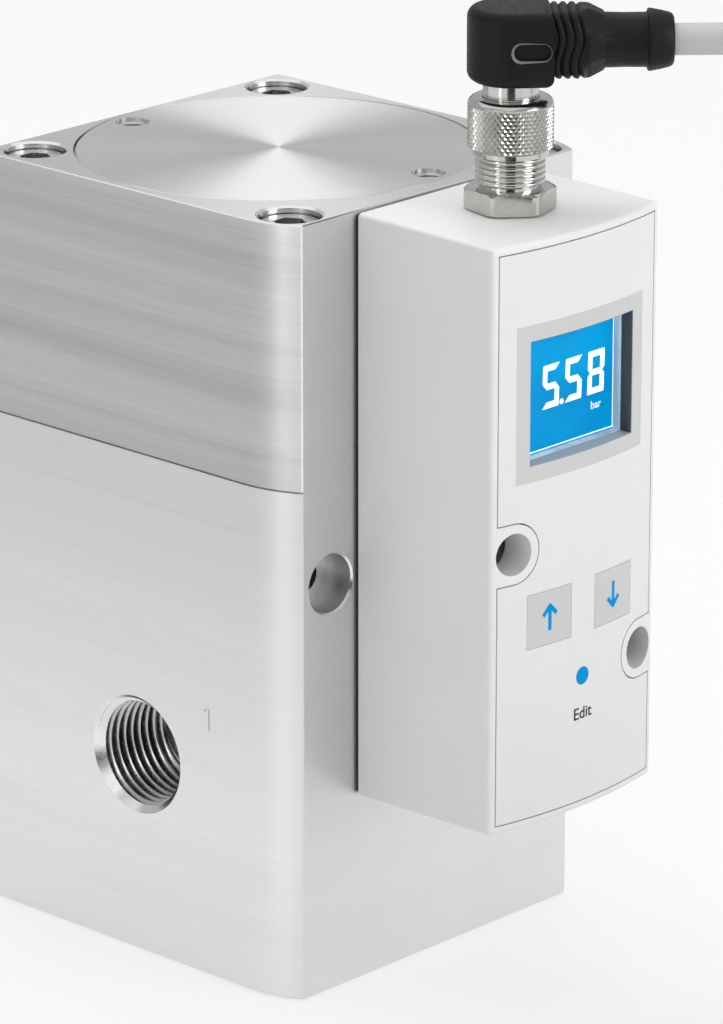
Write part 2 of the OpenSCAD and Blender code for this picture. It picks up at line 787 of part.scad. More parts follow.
module diaphragm() {
    hole_r = stud_d / 2 + bore_gap;
    color([0.16, 0.16, 0.17])
    translate([0, 0, film_z]) rotate_extrude() {
        translate([hole_r, 0]) square([roll_centre - roll_r + film_t - hole_r, film_t]);
        translate([roll_centre + roll_r - film_t, 0])
            square([clamp_r - roll_centre - roll_r + film_t, film_t]);
        intersection() {
            difference() {
                translate([roll_centre, 0]) circle(r = roll_r);
                translate([roll_centre, 0]) circle(r = roll_r - film_t);
            }
            translate([roll_centre - roll_r, 0]) square([2 * roll_r, roll_r]);
        }
    }
}

module upper_plate() {
    color([0.72, 0.73, 0.73])
    translate([0, 0, body_h]) difference() {
        cylinder(r = plate_r, h = upper_plate_t);
        translate([0, 0, -over]) cylinder(r = stud_d / 2 + fit, h = upper_plate_t + 2 * over);
    }
}

module control_stem() {
    plate_low = film_z - lower_plate_t;
    stud_top = body_h + upper_plate_t + plate_nut_h + stud_end;
    color([0.7, 0.71, 0.72]) {
        translate([0, 0, stem_bottom]) cylinder(d = stem_d, h = plate_low - stem_bottom + seat_gap);
        translate([0, 0, plate_low]) cylinder(r = plate_r, h = lower_plate_t);
        translate([0, 0, film_z - seat_gap]) cylinder(d = stud_d, h = stud_top - film_z + seat_gap);
    }
}

module plate_nut() {
    color([0.62, 0.63, 0.64])
    translate([0, 0, body_h + upper_plate_t]) difference() {
        cylinder(d = plate_nut_w / cos(30), h = plate_nut_h, $fn = 6);
        translate([0, 0, -over]) cylinder(r = stud_d / 2 + fit, h = plate_nut_h + 2 * over);
    }
}

module stem_guide() {
    color([0.75, 0.62, 0.35])
    translate([0, 0, guide_z]) difference() {
        cylinder(r = guide_r - thread_gap, h = guide_t);
        translate([0, 0, -over]) cylinder(r = stem_d / 2 + fit, h = guide_t + 2 * over);
        // Feedback hole from the outlet chamber to the diaphragm
        translate([outlet_d / 4 + stem_d / 2, 0, -over]) cylinder(d = drill_d, h = guide_t + 2 * over);
    }
}

module main_poppet() {
    color([0.74, 0.6, 0.32])
    difference() {
        union() {
            translate([0, 0, poppet_bottom]) cylinder(d = poppet_d, h = poppet_t);
            translate([0, 0, tail_bottom]) cylinder(d = tail_d, h = poppet_bottom - tail_bottom + seat_gap);
        }
        translate([0, 0, tail_bottom - over]) cylinder(d = vent_d, h = poppet_top - tail_bottom + 2 * over);
    }
}

module poppet_spring() {
    steps = spring_steps * spring_turns;
    low = spring_low + spring_wire / 2;
    high = spring_high - spring_wire / 2;
    helix = [
        for (i = [0 : steps])
            let (a = 360 * spring_turns * i / steps)
            [spring_r * cos(a), spring_r * sin(a), low + (high - low) * i / steps]
    ];
    color([0.6, 0.61, 0.62])
    swept(helix, spring_wire / 2, spring_sides, [1, 0, 0]);
}

module exhaust_plug() {
    outer_r = plug_r - thread_gap;
    groove_r = outer_r - seal_d - groove_back;
    tail_r = tail_d / 2 + fit;
    inner_groove = tail_r + seal_d + groove_back;
    core_r = port_core_d / 2;
    seal_half = seal_d / 2 + groove_side;
    color([0.76, 0.77, 0.77])
    difference() {
        rotate_extrude() polygon([
            [core_r, 0], [outer_r, 0],
            [outer_r, plug_seal_z - seal_half], [groove_r, plug_seal_z - seal_half],
            [groove_r, plug_seal_z + seal_half], [outer_r, plug_seal_z + seal_half],
            [outer_r, plug_len], [tail_r, plug_len],
            [tail_r, tail_seal_z + seal_half], [inner_groove, tail_seal_z + seal_half],
            [inner_groove, tail_seal_z - seal_half], [tail_r, tail_seal_z - seal_half],
            [tail_r, exhaust_depth], [core_r, exhaust_depth]
        ]);
        for (turn = [0, 180])
            rotate(turn) translate([(core_r + outer_r) / 2, 0, -over])
                cylinder(d = plug_key_d, h = plug_key_depth + over);
    }
}

module plug_seal() {
    color([0.1, 0.1, 0.1])
    seal_ring(plug_r - thread_gap - seal_d / 2, plug_seal_z);
}

module tail_seal() {
    color([0.1, 0.1, 0.1])
    seal_ring(tail_d / 2 + fit + seal_d / 2 + seal_slip, tail_seal_z);
}

// Controller

module controller_housing() {
    side = [
        [front_y - gasket_t, case_z], [front_y - gasket_t, case_top_z],
        [front_y - case_apex, case_top_z - case_taper], [front_y - case_apex, case_z + case_taper]
    ];
    color([0.9, 0.9, 0.89])
    difference() {
        intersection() {
            translate([-case_w / 2, 0, 0]) rotate([90, 0, 90]) linear_extrude(case_w) polygon(side);
            front_curve();
            difference() {
                forward_box(0, case_z + case_h / 2, case_w, case_h, 0, case_apex + over);
                // Hollow, open to the block and to the front panel
                difference() {
                    forward_box(0, (cavity_low + cavity_high) / 2, cavity_w, cavity_high - cavity_low,
                        -over, case_apex + 2 * over);
                    for (boss = boss_places)
                        boss_shape(boss[0], boss[1], boss_r, -2 * over, case_apex + 3 * over);
                }
            }
        }
        // Seat of the front panel
        difference() {
            forward_box(0, (panel_low + panel_high) / 2,
                panel_w + 2 * panel_gap, panel_high - panel_low + 2 * panel_gap,
                case_d - panel_t - case_bulge, case_apex + over);
            front_curve(panel_t);
            for (boss = boss_places)
                boss_shape(boss[0], boss[1], boss_r, 0, case_apex + 2 * over);
        }
        // Screw holes and their counterbores
        for (boss = boss_places) {
            forward(boss[0] * boss_x, boss[1], case_screw_d + case_screw_room, 0, case_apex);
            forward(boss[0] * boss_x, boss[1], boss_bore_d, case_head_y - case_head_h, case_apex + over);
        }
        // Hole for the connector
        translate([0, socket_centre, cavity_high - over])
            cylinder(r = shank_d / 2 + bore_gap, h = case_top + 2 * over);
    }
}

module housing_gasket() {
    low = case_z + gasket_inset;
    high = case_top_z - gasket_inset;
    color([0.12, 0.12, 0.12])
    difference() {
        forward_box(0, (low + high) / 2, case_w - 2 * gasket_inset, high - low, 0, gasket_t);
        difference() {
            forward_box(0, (cavity_low + cavity_high) / 2, cavity_w, cavity_high - cavity_low,
                -over, gasket_t + over);
            for (boss = boss_places)
                boss_shape(boss[0], boss[1], boss_r, -2 * over, gasket_t + 2 * over);
        }
        for (boss = boss_places)
            forward(boss[0] * boss_x, boss[1], case_screw_d + case_screw_room, -over, gasket_t + over);
    }
}

module housing_screws() {
    head_from = case_head_y - case_head_h + seat_gap;
    color([0.2, 0.2, 0.21])
    for (boss = boss_places)
        difference() {
            union() {
                forward(boss[0] * boss_x, boss[1], case_screw_d, -case_grip, head_from);
                forward(boss[0] * boss_x, boss[1], case_head_d, head_from, case_head_y);
            }
            translate([boss[0] * boss_x, front_y - case_head_y + case_key_depth, boss[1]])
                rotate([90, 0, 0]) cylinder(d = case_key / cos(30), h = case_head_h, $fn = 6);
        }
}

module front_panel() {
    color([0.87, 0.87, 0.87])
    difference() {
        intersection() {
            front_curve();
            forward_box(0, (panel_low + panel_high) / 2, panel_w, panel_high - panel_low,
                0, case_apex + over);
        }
        front_curve(panel_t - seat_gap);
        for (boss = boss_places)
            boss_shape(boss[0], boss[1], boss_r + panel_gap, 0, case_apex + over);
        forward_box(0, frame_z, frame_w + 2 * frame_gap, frame_h + 2 * frame_gap, 0, case_apex + over);
        for (side = [-1, 1])
            forward_box(side * key_x, key_z, key_w + 2 * key_gap, key_h + 2 * key_gap, 0, case_apex + over);
        forward(0, edit_z, edit_d + 2 * key_gap, 0, case_apex + over);
    }
}

module display_frame() {
    tube_w = window_w + 2 * recess_wall;
    tube_h = window_h + 2 * recess_wall;
    color([0.76, 0.77, 0.77])
    difference() {
        intersection() {
            front_curve();
            union() {
                difference() {
                    forward_box(0, frame_z, frame_w, frame_h, 0, case_apex + over);
                    front_curve(panel_t - seat_gap);
                }
                forward_box(0, frame_z, tube_w, tube_h, lcd_front, case_apex + over);
            }
        }
        forward_box(0, frame_z, window_w, window_h, 0, case_apex + over);
    }
}

module display_lens() {
    color([0.75, 0.87, 0.95, 0.5])
    forward_box(0, frame_z, window_w - 2 * bore_gap, window_h - 2 * bore_gap,
        lens_back, lens_back + lens_t);
}

module lcd_module() {
    color([0.02, 0.5, 0.83])
    forward_box(0, frame_z, window_w + 2 * recess_wall, window_h + 2 * recess_wall, board_front, lcd_front);
}

// A key with a pad flush in the panel and a stem that reaches into its switch
module key_shape(x, z) {
    intersection() {
        front_curve();
        children();
    }
    forward(x, z, key_stem_d, key_reach, front_at(abs(x) + key_stem_d / 2) - panel_t + seat_gap);
}

module arrow_key(side) {
    key_shape(side * key_x, key_z)
        difference() {
            forward_box(side * key_x, key_z, key_w, key_h, 0, case_apex + over);
            front_curve(panel_t);
        }
}

module up_key() {
    color([0.78, 0.79, 0.79]) arrow_key(-1);
}

module down_key() {
    color([0.78, 0.79, 0.79]) arrow_key(1);
}

module edit_key() {
    color([0.02, 0.5, 0.83])
    key_shape(0, edit_z)
        forward(0, edit_z, edit_d, case_apex - panel_t, case_apex + over);
}

module key_switches() {
    color([0.15, 0.15, 0.16])
    for (place = [[-key_x, key_z], [key_x, key_z], [0, edit_z]])
        difference() {
            forward_box(place[0], place[1], switch_w, switch_w, board_front, switch_front);
            forward(place[0], place[1], key_stem_d + 2 * bore_gap,
                switch_front - switch_hole, switch_front + over);
        }
}

module circuit_board() {
    color([0.05, 0.36, 0.2])
    difference() {
        forward_box(0, board_mid, cavity_w - 2 * board_gap, board_high - board_low,
            board_y, board_front);
        for (boss = boss_places)
            boss_shape(boss[0], boss[1], boss_r + board_gap, 0, case_d);
    }
}

module board_components() {
    driver_x = driver_w / 2 + chip_gap;
    capacitor_x = capacitor_d / 2 + chip_gap;
    capacitor_z = sensor_z + sensor_d / 2 + capacitor_d / 2 + chip_gap;
    chip_z = (capacitor_z + pilot_z) / 2;
    driver_z = chip_z + chip_w / 2 + driver_w / 2 + chip_gap;
    color([0.12, 0.12, 0.13]) {
        forward_box(0, chip_z, chip_w, chip_w, board_y - chip_t, board_y);
        for (side = [-1, 1]) {
            forward_box(side * driver_x, driver_z, driver_w, driver_w, board_y - chip_t, board_y);
            forward(side * capacitor_x, capacitor_z, capacitor_d, board_y - capacitor_h, board_y);
        }
    }
}

// A pilot valve on the block's face, with a blind bore for its plunger
module pilot_valve(side) {
    room = plunger_len + plunger_stroke + 2 * bore_gap;
    difference() {
        forward_box(side * pilot_x, pilot_z, pilot_w, pilot_w, 0, pilot_len);
        forward(side * pilot_x, pilot_z, plunger_d + 2 * fit, pilot_bore, pilot_bore + room);
        forward(side * pilot_x, pilot_z, drill_d, -over, pilot_bore + over);
    }
}

module fill_valve() {
    color([0.18, 0.18, 0.19]) pilot_valve(-1);
}

module vent_valve() {
    color([0.18, 0.18, 0.19]) pilot_valve(1);
}

module pilot_plunger(side) {
    forward(side * pilot_x, pilot_z, plunger_d, pilot_bore + bore_gap, pilot_bore + bore_gap + plunger_len);
}

module fill_plunger() {
    color([0.6, 0.61, 0.62]) pilot_plunger(-1);
}

module vent_plunger() {
    color([0.6, 0.61, 0.62]) pilot_plunger(1);
}

module pressure_sensor() {
    color([0.7, 0.71, 0.72])
    difference() {
        forward(0, sensor_z, sensor_d, 0, sensor_len);
        forward(0, sensor_z, drill_d, -over, sensor_len / 2);
    }
}

// Connector and plug

module m12_socket() {
    color([0.72, 0.71, 0.67])
    translate([0, socket_centre, 0]) difference() {
        union() {
            translate([0, 0, hex_z - shank_len]) cylinder(d = shank_d, h = shank_len + seat_gap);
            intersection() {
                rotate(hex_turn) translate([0, 0, hex_z]) cylinder(d = hex_w / cos(30), h = hex_h, $fn = 6);
                translate([0, 0, hex_z]) cylinder(d = hex_w / cos(30) - 2 * hex_corner, h = hex_h);
            }
            translate([0, 0, thread_z - seat_gap]) cylinder(d = thread_d, h = thread_h + seat_gap);
        }
        translate([0, 0, hex_z - shank_len - over])
            cylinder(d = socket_bore_d, h = thread_top - hex_z + shank_len + 2 * over);
    }
}

module socket_nut() {
    color([0.72, 0.71, 0.67])
    translate([0, socket_centre, cavity_high - lock_h]) difference() {
        cylinder(d = lock_w / cos(30), h = lock_h, $fn = 6);
        translate([0, 0, -over]) cylinder(r = shank_d / 2 + thread_gap, h = lock_h + 2 * over);
    }
}

module pin_carrier() {
    color([0.13, 0.13, 0.13])
    translate([0, socket_centre, hex_z - shank_len]) difference() {
        cylinder(r = socket_bore_d / 2 - fit, h = shank_len + carrier_h);
        for (k = [0 : pin_count - 1])
            rotate(360 * k / pin_count) translate([pin_ring, 0, -over])
                cylinder(r = pin_d / 2 + fit, h = shank_len + carrier_h + 2 * over, $fn = 32);
    }
}

module contact_pins() {
    low = hex_z - shank_len - 1;
    color([0.85, 0.68, 0.3])
    translate([0, socket_centre, low])
        for (k = [0 : pin_count - 1])
            rotate(360 * k / pin_count) translate([pin_ring, 0, 0])
                cylinder(d = pin_d, h = pin_top - low, $fn = 32);
}

module coupling_nut() {
    r = nut_d / 2;
    bore = thread_d / 2 + fit;
    hole = neck_d / 2 + fit;
    color([0.76, 0.75, 0.72])
    translate([0, socket_centre, 0]) rotate_extrude() polygon([
        [bore, nut_z], [r - nut_step, nut_z], [r - nut_step, nut_z + nut_foot],
        [r, nut_z + nut_foot + nut_step / 2], [r, nut_top - nut_edge], [r - nut_edge, nut_top],
        [hole, nut_top], [hole, flange_z], [bore, flange_z]
    ]);
}

module plug_sleeve() {
    inner = neck_d / 2 - neck_wall;
    collar = thread_d / 2 - neck_room;
    color([0.76, 0.75, 0.72])
    translate([0, socket_centre, 0]) rotate_extrude() polygon([
        [inner, neck_z], [collar, neck_z], [collar, flange_z - neck_room],
        [neck_d / 2, flange_z - neck_room], [neck_d / 2, elbow_z], [inner, elbow_z]
    ]);
}

module plug_insert() {
    r = min(socket_bore_d / 2 - bore_gap, neck_d / 2 - neck_wall - fit);
    color([0.13, 0.13, 0.13])
    translate([0, socket_centre, insert_z]) difference() {
        cylinder(r = r, h = elbow_z - insert_z);
        for (k = [0 : pin_count - 1])
            rotate(360 * k / pin_count) translate([pin_ring, 0, -over])
                cylinder(r = pin_d / 2 + bore_gap, h = pin_top - insert_z + 2 * over, $fn = 32);
    }
}

// The plug's moulded body: round head, wavy ribs, taper, strain relief and end collar
module elbow_body() {
    rib_w = elbow_ribs / (2 * rib_count - 1);
    middle = elbow_h / 2;
    slot_z = relief_z - slot_drop;
    color([0.13, 0.13, 0.13])
    translate([0, socket_centre, elbow_z]) rotate(elbow_turn) difference() {
        union() {
            // Head: half a revolved section, carried straight on
            translate([0, 0, middle]) rotate(90) rotate_extrude(angle = 180) intersection() {
                rounded(2 * elbow_r, elbow_h, elbow_edge);
                translate([0, -middle]) square([elbow_r, elbow_h]);
            }
            translate([0, 0, middle]) rotate([90, 0, 90]) linear_extrude(elbow_head)
                rounded(2 * elbow_r, elbow_h, elbow_edge);
            translate([0, 0, relief_z]) {
                translate([rib_x, 0, 0]) rotate([90, 0, 90]) linear_extrude(elbow_ribs)
                    rounded(elbow_h - rib_depth, elbow_h - rib_depth, 2 * rib_depth);
                for (k = [0 : rib_count - 1])
                    translate([rib_x + 2 * k * rib_w, 0, 0]) rotate([90, 0, 90]) linear_extrude(rib_w)
                        rounded(elbow_h - rib_depth / 3, elbow_h - rib_depth / 2, 2 * rib_depth);
                rotate([0, 90, 0]) {
                    translate([0, 0, taper_x])
                        cylinder(d1 = elbow_h - rib_depth, d2 = relief_d, h = elbow_taper);
                    translate([0, 0, relief_x])
                        cylinder(d = relief_d, h = relief_len);
                    translate([0, 0, collar_x])
                        cylinder(d1 = collar_d, d2 = collar_d - collar_lean, h = collar_len);
                }
            }
        }
        // Recessed slots on both sides
        for (side = [-1, 1]) {
            for (end = [slot_from, slot_to])
                translate([end, side * elbow_r, slot_z]) rotate([90, 0, 0])
                    cylinder(d = slot_w, h = 2 * slot_depth, center = true);
            translate([slot_from, side * elbow_r - slot_depth, slot_z - slot_w / 2])
                cube([slot_to - slot_from, 2 * slot_depth, slot_w]);
        }
    }
}

// Cable

module cable() {
    color([0.62, 0.63, 0.64])
    swept(route, cable_d / 2, route_sides, [1, 1, 0]);
}

// The outer shape of the wound coil, with a step in its top layer for the bare cores
module cable_coil() {
    color([0.62, 0.63, 0.64])
    translate([coil_place[0], coil_place[1], 0]) difference() {
        rotate_extrude() translate([coil_inner, tie_t]) square([coil_outer - coil_inner, coil_top - tie_t]);
        rotate(notch_from) translate([0, 0, notch_floor]) rotate_extrude(angle = notch_sweep)
            translate([notch_inner, 0]) square([coil_outer - notch_inner + over, cable_d + over]);
    }
}

module coil_ties() {
    inner = coil_inner - tie_room;
    outer = coil_outer + tie_room;
    color([0.08, 0.08, 0.08])
    translate([coil_place[0], coil_place[1], 0])
        for (a = tie_angles)
            rotate(a) difference() {
                translate([inner - tie_t, -tie_w / 2, 0])
                    cube([outer - inner + 2 * tie_t, tie_w, coil_top + tie_t]);
                translate([inner, -tie_w, tie_t]) cube([outer - inner, 2 * tie_w, coil_top - tie_t]);
            }
}

// Bare cores that lie side by side on the coil past the end of the sheath
module wire_ends() {
    color([0.45, 0.3, 0.2])
    translate([coil_place[0], coil_place[1], notch_floor + core_d / 2])
        rotate(notch_from + notch_sweep - core_sweep)
            for (k = [0 : core_count - 1])
                rotate_extrude(angle = core_sweep)
                    translate([notch_inner + core_inset + k * (core_d + core_gap), 0])
                        circle(d = core_d, $fn = 24);
}

valve_body();
pilot_head();
top_cap();
top_cap_seal();
head_screws();
diaphragm();
upper_plate();
control_stem();
plate_nut();
stem_guide();
main_poppet();
poppet_spring();
exhaust_plug();
plug_seal();
tail_seal();
controller_housing();
housing_gasket();
housing_screws();
front_panel();
display_frame();
display_lens();
lcd_module();
up_key();
down_key();
edit_key();
key_switches();
circuit_board();
board_components();
fill_valve();
vent_valve();
fill_plunger();
vent_plunger();
pressure_sensor();
m12_socket();
socket_nut();
pin_carrier();
contact_pins();
coupling_nut();
plug_sleeve();
plug_insert();
elbow_body();
cable();
cable_coil();
coil_ties();
wire_ends();
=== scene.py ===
import math

import bmesh
import bpy
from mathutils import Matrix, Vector
from mathutils.geometry import convex_hull_2d


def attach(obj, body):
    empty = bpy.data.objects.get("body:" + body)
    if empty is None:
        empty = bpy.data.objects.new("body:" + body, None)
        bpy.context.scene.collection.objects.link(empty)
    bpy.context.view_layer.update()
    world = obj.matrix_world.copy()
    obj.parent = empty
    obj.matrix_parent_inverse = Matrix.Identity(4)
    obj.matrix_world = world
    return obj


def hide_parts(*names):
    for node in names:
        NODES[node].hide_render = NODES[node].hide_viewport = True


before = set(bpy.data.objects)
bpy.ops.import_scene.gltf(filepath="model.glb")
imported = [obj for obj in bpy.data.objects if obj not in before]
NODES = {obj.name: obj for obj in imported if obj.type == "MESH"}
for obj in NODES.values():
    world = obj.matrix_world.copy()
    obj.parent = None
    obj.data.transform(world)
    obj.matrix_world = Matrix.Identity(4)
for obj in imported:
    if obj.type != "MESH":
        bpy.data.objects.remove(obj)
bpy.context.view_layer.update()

# Electro pneumatic regulator: the object's lengths are millimetres until a mesh is made. The
# camera, the floor, the cards and the lamps are in metres.

SCENE = bpy.context.scene
MM = 0.001
ROOT = "regulator"

# Sizes shared with the solids

FRONT = -38.7
BACK = 36.3
HALF_W = 37.5
SEAM = 93.5
TOP = 140.5
CASE_HALF = 21.2
CASE_LOW, CASE_HIGH = 34.8, 140.1
CASE_EDGE, CASE_BULGE = 31.1, 2.5
CASE_APEX = CASE_EDGE + CASE_BULGE
CASE_R = (CASE_HALF ** 2 + CASE_BULGE ** 2) / (2 * CASE_BULGE)
CASE_TAPER = 0.5
BOSSES = ((-1, 85.3), (1, 60.2))
BOSS_X, BOSS_R, BOSS_BORE = 16.3, 5.3, 7.5
SOCKET_Y = FRONT - 16.0
TURN = math.radians(-45)


def front_y(x, back=0.0):
    """Y of the controller's curved front at x, moved back by a depth."""
    r = CASE_R - back
    return FRONT - CASE_APEX + CASE_R - math.sqrt(r * r - x * x)


# Camera

SENSOR, FOCAL_PIXELS, FRAME_PIXELS = 36.0, 6000, 1024
EYE = (-0.7334, -0.7100, 0.4124)
VIEW_TURN, VIEW_TILT = -46.75, 18.40


def make_camera():
    data = bpy.data.cameras.new("camera")
    data.sensor_width = SENSOR
    data.lens = SENSOR * FOCAL_PIXELS / FRAME_PIXELS
    data.clip_start, data.clip_end = 0.05, 50.0
    cam = bpy.data.objects.new("camera", data)
    SCENE.collection.objects.link(cam)
    a, e = math.radians(VIEW_TURN), math.radians(VIEW_TILT)
    back = Vector((math.sin(a) * math.cos(e), -math.cos(a) * math.cos(e), math.sin(e)))
    cam.rotation_mode = "QUATERNION"
    cam.location = EYE
    cam.rotation_quaternion = (-back).to_track_quat("-Z", "Y")
    SCENE.camera = cam


make_camera()


# Node materials

class Shade:
    """A material with a Principled shader, and short calls for the nodes that feed it."""

    def __init__(self, name, color=(0.8, 0.8, 0.8), rough=0.5, metal=0.0, **extra):
        self.mat = bpy.data.materials.new(name)
        self.mat.use_nodes = True
        self.tree = self.mat.node_tree
        self.bsdf = self.tree.nodes["Principled BSDF"]
        self.set("Base Color", (*color, 1.0))
        self.set("Roughness", rough)
        self.set("Metallic", metal)
        for key, value in extra.items():
            self.set(key.replace("_", " "), value)
        self.coords = None

    def set(self, socket, value):
        self.bsdf.inputs[socket].default_value = value

    def node(self, kind, **props):
        n = self.tree.nodes.new(kind)
        for key, value in props.items():
            setattr(n, key, value)
        return n

    def link(self, a, b):
        self.tree.links.new(a, b)

    def place(self, scale):
        """Object coordinates, scaled along each axis."""
        if self.coords is None:
            self.coords = self.node("ShaderNodeTexCoord")
        m = self.node("ShaderNodeMapping")
        m.inputs["Scale"].default_value = scale
        self.link(self.coords.outputs["Object"], m.inputs["Vector"])
        return m.outputs["Vector"]

    def split(self, vector):
        """The x, y and z of a vector."""
        n = self.node("ShaderNodeSeparateXYZ")
        self.link(vector, n.inputs[0])
        return n.outputs

    def noise(self, scale, detail=4.0, rough=0.55):
        n = self.node("ShaderNodeTexNoise")
        n.inputs["Scale"].default_value = 1.0
        n.inputs["Detail"].default_value = detail
        n.inputs["Roughness"].default_value = rough
        self.link(self.place(scale), n.inputs["Vector"])
        return n.outputs["Fac"]

    def spread(self, value, low, high, from_low=0.3, from_high=0.7):
        n = self.node("ShaderNodeMapRange", clamp=True)
        n.inputs["From Min"].default_value = from_low
        n.inputs["From Max"].default_value = from_high
        n.inputs["To Min"].default_value = low
        n.inputs["To Max"].default_value = high
        self.link(value, n.inputs["Value"])
        return n.outputs["Result"]

    def math(self, op, a, b):
        n = self.node("ShaderNodeMath", operation=op)
        for socket, value in zip(n.inputs, (a, b)):
            if isinstance(value, (int, float)):
                socket.default_value = value
            else:
                self.link(value, socket)
        return n.outputs[0]

    def total(self, *parts):
        """Values added up, each times its share."""
        out = None
        for value, share in parts:
            part = self.math("MULTIPLY", value, share)
            out = part if out is None else self.math("ADD", out, part)
        return out

    def blend(self, fac, a, b):
        n = self.node("ShaderNodeMix", data_type="RGBA")
        self.link(fac, n.inputs["Factor"])
        for socket, value in ((n.inputs[6], a), (n.inputs[7], b)):
            if isinstance(value, tuple):
                socket.default_value = (*value, 1.0)
            else:
                self.link(value, socket)
        return n.outputs[2]

    def times(self, color, value):
        """A colour darkened by a varying number."""
        n = self.node("ShaderNodeMix", data_type="RGBA", blend_type="MULTIPLY")
        n.inputs["Factor"].default_value = 1.0
        self.link(color, n.inputs[6])
        self.link(value, n.inputs[7])
        return n.outputs[2]

    def color(self, value):
        self.link(value, self.bsdf.inputs["Base Color"])

    def rough(self, value):
        self.link(value, self.bsdf.inputs["Roughness"])

    def glow(self, color, strength):
        self.link(color, self.bsdf.inputs["Emission Color"])
        self.set("Emission Strength", strength)

    def bump(self, height, depth):
        n = self.node("ShaderNodeBump")
        n.inputs["Strength"].default_value = 1.0
        n.inputs["Distance"].default_value = depth * MM
        self.link(height, n.inputs["Height"])
        self.link(n.outputs["Normal"], self.bsdf.inputs["Normal"])

    def grain(self):
        """Turned or milled grain round the piece's own vertical axis."""
        n = self.node("ShaderNodeTangent", direction_type="RADIAL", axis="Z")
        self.link(n.outputs["Tangent"], self.bsdf.inputs["Tangent"])
        self.set("Anisotropic Rotation", 0.25)
        return self


def milled(name, dark, light, mixing, rough, depth, aniso, sides=None, step=None):
    """Milled aluminium: straight bands and fine lines that run level round the block.

    The left and right faces may have a pair of tones of their own: painted light and shade by which way a
    face looks.
    Below a step, a height in metres, these tones darken upward, a painted reflection of the floor that
    lights the faces towards the bottom, and a faint darker line lies at the step itself.
    """
    s = Shade(name, light, rough[0], 1.0, Anisotropic=aniso)
    bands = s.noise((1.2, 1.2, 130), 2.0, 0.5)
    lines = s.noise((2.5, 2.5, 1500), 2.0, 0.6)
    dashes = s.noise((90, 90, 3600), 1.0)
    mixed = s.total((bands, mixing[0]), (lines, mixing[1]), (dashes, mixing[2]))
    level = s.spread(mixed, 0.0, 1.0, 0.34, 0.66)
    tone = s.blend(level, dark, light)
    if sides:
        side = s.blend(level, *sides)
        if step:
            # Painted light: the side tones grow paler towards the bottom, as if lit by the floor
            z = s.split(s.coords.outputs["Object"])[2]
            near = s.math("ABSOLUTE", s.math("SUBTRACT", z, step), 0.0)
            side = s.times(side, s.spread(z, 1.0, 0.82, 0.035, step))
            side = s.times(side, s.spread(near, 0.95, 1.0, 0.0, 0.0003))
        # Painted light and shade: faces that look along x take the side tones
        x = s.split(s.coords.outputs["Normal"])[0]
        across = s.spread(s.math("ABSOLUTE", x, 0.0), 0.0, 1.0, 0.8, 1.0)
        tone = s.blend(across, tone, side)
    s.color(tone)
    s.rough(s.spread(mixed, rough[1], rough[0], 0.34, 0.66))
    s.bump(s.total((lines, 0.6), (dashes, 0.4)), depth)
    return s.grain().mat


def moulded(name, color, rough=0.5, grain=900, depth=0.03, shade=0.94, **extra):
    """Moulded plastic: a fine eroded grain with a little unevenness in colour and gloss."""
    s = Shade(name, color, rough, 0.0, **extra)
    cloud = s.noise((60, 60, 60), 3.0)
    skin = s.noise((grain, grain, grain), 2.0)
    s.color(s.blend(s.spread(cloud, 0.0, 1.0), tuple(c * shade for c in color), color))
    s.rough(s.spread(skin, rough - 0.06, rough + 0.08))
    s.bump(skin, depth)
    return s.mat


def plated(name, dark, light, rough):
    """Plated or bare metal with fine tool marks and slight stains."""
    s = Shade(name, light, rough, 1.0)
    marks = s.noise((900, 900, 900), 3.0)
    stain = s.noise((160, 160, 160), 3.0)
    s.color(s.blend(s.spread(stain, 0.0, 1.0), dark, light))
    s.rough(s.spread(s.total((marks, 0.6), (stain, 0.4)), rough - 0.07, rough + 0.1))
    s.bump(marks, 0.004)
    return s.mat


def turned(name):
    """The cap's face: fine rings about its axis, so that light fans out across them."""
    s = Shade(name, (0.83, 0.83, 0.82), 0.305, 1.0, Anisotropic=0.9)
    x, y, _ = s.split(s.place((1, 1, 1)))
    radius = s.math("SQRT", s.math("ADD", s.math("POWER", x, 2.0), s.math("POWER", y, 2.0)), 0.0)

    def rings(scale, detail):
        n = s.node("ShaderNodeTexNoise", noise_dimensions="1D")
        n.inputs["Scale"].default_value = 1.0
        n.inputs["Detail"].default_value = detail
        s.link(s.math("MULTIPLY", radius, scale), n.inputs["W"])
        return n.outputs["Fac"]

    fine = rings(4200.0, 4.0)
    both = s.total((fine, 0.8), (rings(420.0, 2.0), 0.2))
    s.color(s.blend(s.spread(both, 0.0, 1.0), (0.81, 0.81, 0.805), (0.85, 0.85, 0.845)))
    s.rough(s.spread(both, 0.29, 0.32))
    s.bump(fine, 0.001)
    return s.grain().mat


FACE = ((0.735, 0.74, 0.74), (0.775, 0.78, 0.775))
# The left and right faces take paler side tones, painted light, that darken up to the step: a painted floor
# reflection
BODY = milled(
    "body_aluminium", *FACE, (0.40, 0.35, 0.25), (0.36, 0.41), 0.003, 0.55,
    ((0.765, 0.77, 0.77), (0.825, 0.83, 0.825)), step=0.0845,
)
# The left and right faces take much darker side tones: painted shade
HEAD = milled(
    "head_aluminium", *FACE, (0.66, 0.22, 0.12), (0.33, 0.41), 0.004, 0.55,
    ((0.40, 0.405, 0.405), (0.56, 0.565, 0.56)),
)
# Paler tone for chamfers and rims: a painted highlight along the edges
EDGE_HIGHLIGHT = milled(
    "painted_edge_highlight", (0.80, 0.80, 0.80), (0.93, 0.93, 0.925), (0.40, 0.30, 0.30), (0.20, 0.26), 0.002, 0.2,
)
CAP = turned("cap_aluminium")
